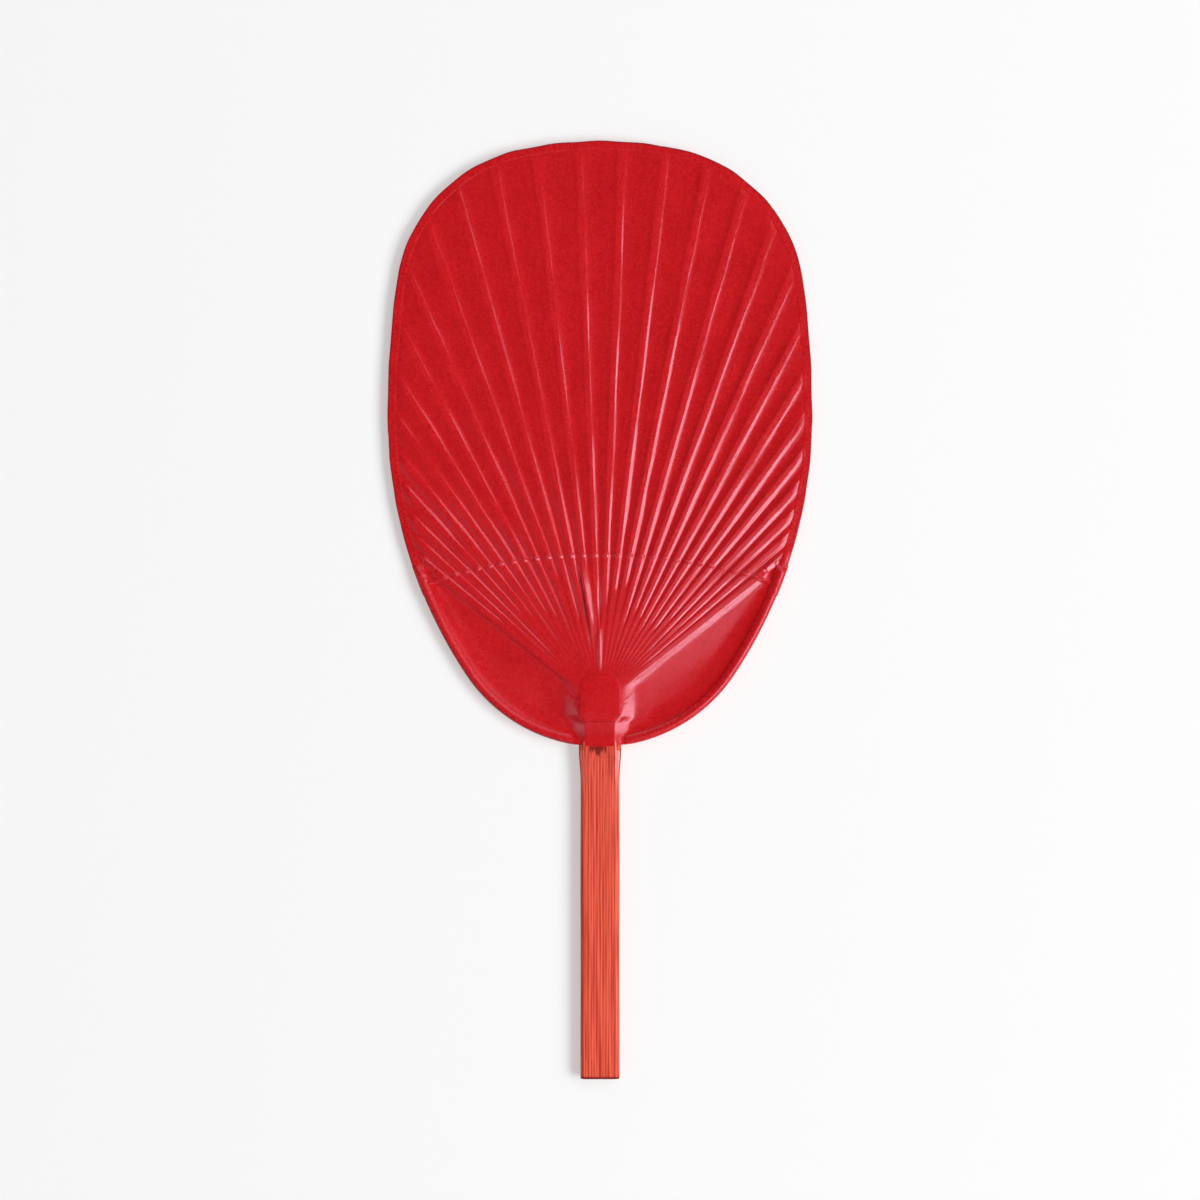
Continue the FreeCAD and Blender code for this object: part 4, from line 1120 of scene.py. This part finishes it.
class UCHIWA_OT_bamboo(Operator):
    """Split the bamboo strip into handle and ribs"""

    bl_idname = "uchiwa.bamboo"
    bl_label = "Handle with ribs"

    def execute(self, context):
        settings = context.scene.uchiwa_bamboo
        bm = handle_body(settings)
        add_ribs(bm)
        material = stained_bamboo(settings)
        made = piece("bamboo_handle_and_ribs", bm, material, "handle_with_ribs")
        # Mark the stain blot, the darker sides and the painted shade at the butt
        mark(made, "dark", stain_and_painted_shade)
        return {"FINISHED"}


class UCHIWA_OT_hidden(Operator):
    """Give the bow and the thread inside the paper their materials"""

    bl_idname = "uchiwa.hidden"
    bl_label = "Bow and thread"

    def execute(self, context):
        # Bare bamboo, shaved round: straw yellow, half dull
        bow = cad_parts["bow"]
        bow.data.materials.clear()
        bow.data.materials.append(plain_material("shaved bare bamboo", "#d8b878", 0.5))

        # Undyed cotton, twisted: off-white and dull
        cotton = plain_material("twisted cotton thread", "#e6e0d2", 0.8)
        for name, turn in (("over", 1), ("under", -1)):
            piece(f"thread_{name}", thread_run(turn), cotton, "thread")
        return {"FINISHED"}


class UCHIWA_OT_stage(Operator):
    """Set up table, lights and camera as in the photograph"""

    bl_idname = "uchiwa.stage"
    bl_label = "Stage"

    def execute(self, context):
        settings = context.scene.uchiwa_stage
        bm = bmesh.new()
        bmesh.ops.create_grid(bm, x_segments=1, y_segments=1, size=TABLE_HALF)
        mesh = bpy.data.meshes.new("table top")
        bm.to_mesh(mesh)
        bm.free()
        mesh.materials.append(white_board((*settings.floor, 1.0)))
        table = put("table_top", mesh)
        for name, spot, wide, tall, power, share, shadow in LIGHTS:
            lamp = bpy.data.lights.new(name, "AREA")
            lamp.shape = "RECTANGLE"
            lamp.size, lamp.size_y = wide, tall
            lamp.energy = getattr(settings, power) * share
            lamp.use_shadow = shadow
            light = put(name, lamp)
            light.location = spot
            light.rotation_euler = (-Vector(spot)).to_track_quat("-Z", "Y").to_euler()
        world = bpy.data.worlds.new("white room")
        world.use_nodes = True
        room = world.node_tree.nodes["Background"]
        room.inputs["Color"].default_value = linear("#ffffff")
        room.inputs["Strength"].default_value = ROOM_LIGHT
        context.scene.world = world
        eye = bpy.data.cameras.new("photo camera")
        eye.lens = LENS
        eye.sensor_width = SENSOR
        camera = put("photo camera", eye)
        camera.location = (0.0, PHOTO_MIDDLE, PHOTO_WIDTH / SENSOR * LENS + LIFT * MM)
        context.scene.camera = camera
        context.scene.view_settings.view_transform = "Standard"
        return {"FINISHED"}


class UCHIWA_PT_panel(Panel):
    """Settings and steps of the fan"""

    bl_idname = "UCHIWA_PT_panel"
    bl_label = "Uchiwa fan"
    bl_space_type = "VIEW_3D"
    bl_region_type = "UI"
    bl_category = "Uchiwa"

    def draw(self, context):
        for name, kind in GROUPS.items():
            box = self.layout.box()
            for setting in kind.__annotations__:
                box.prop(getattr(context.scene, name), setting)
        for step in STEPS:
            self.layout.operator(step.bl_idname)


STEPS = (
    UCHIWA_OT_paper,
    UCHIWA_OT_edging,
    UCHIWA_OT_patches,
    UCHIWA_OT_bamboo,
    UCHIWA_OT_hidden,
    UCHIWA_OT_stage,
)
GROUPS = {"uchiwa_paper": UchiwaPaper, "uchiwa_bamboo": UchiwaBamboo, "uchiwa_stage": UchiwaStage}


def register():
    """Register the settings, the steps and the panel."""
    for name, group in GROUPS.items():
        bpy.utils.register_class(group)
        setattr(bpy.types.Scene, name, PointerProperty(type=group))
    for kind in STEPS + (UCHIWA_PT_panel,):
        bpy.utils.register_class(kind)


def unregister():
    """Undo register."""
    for kind in reversed(STEPS + (UCHIWA_PT_panel,)):
        bpy.utils.unregister_class(kind)
    for name, group in GROUPS.items():
        delattr(bpy.types.Scene, name)
        bpy.utils.unregister_class(group)


def main():
    """Build the fan and set the stage."""
    register()
    bpy.ops.uchiwa.paper()
    bpy.ops.uchiwa.edging()
    bpy.ops.uchiwa.patches()
    bpy.ops.uchiwa.bamboo()
    bpy.ops.uchiwa.hidden()
    bpy.ops.uchiwa.stage()


if __name__ == "__main__":
    main()
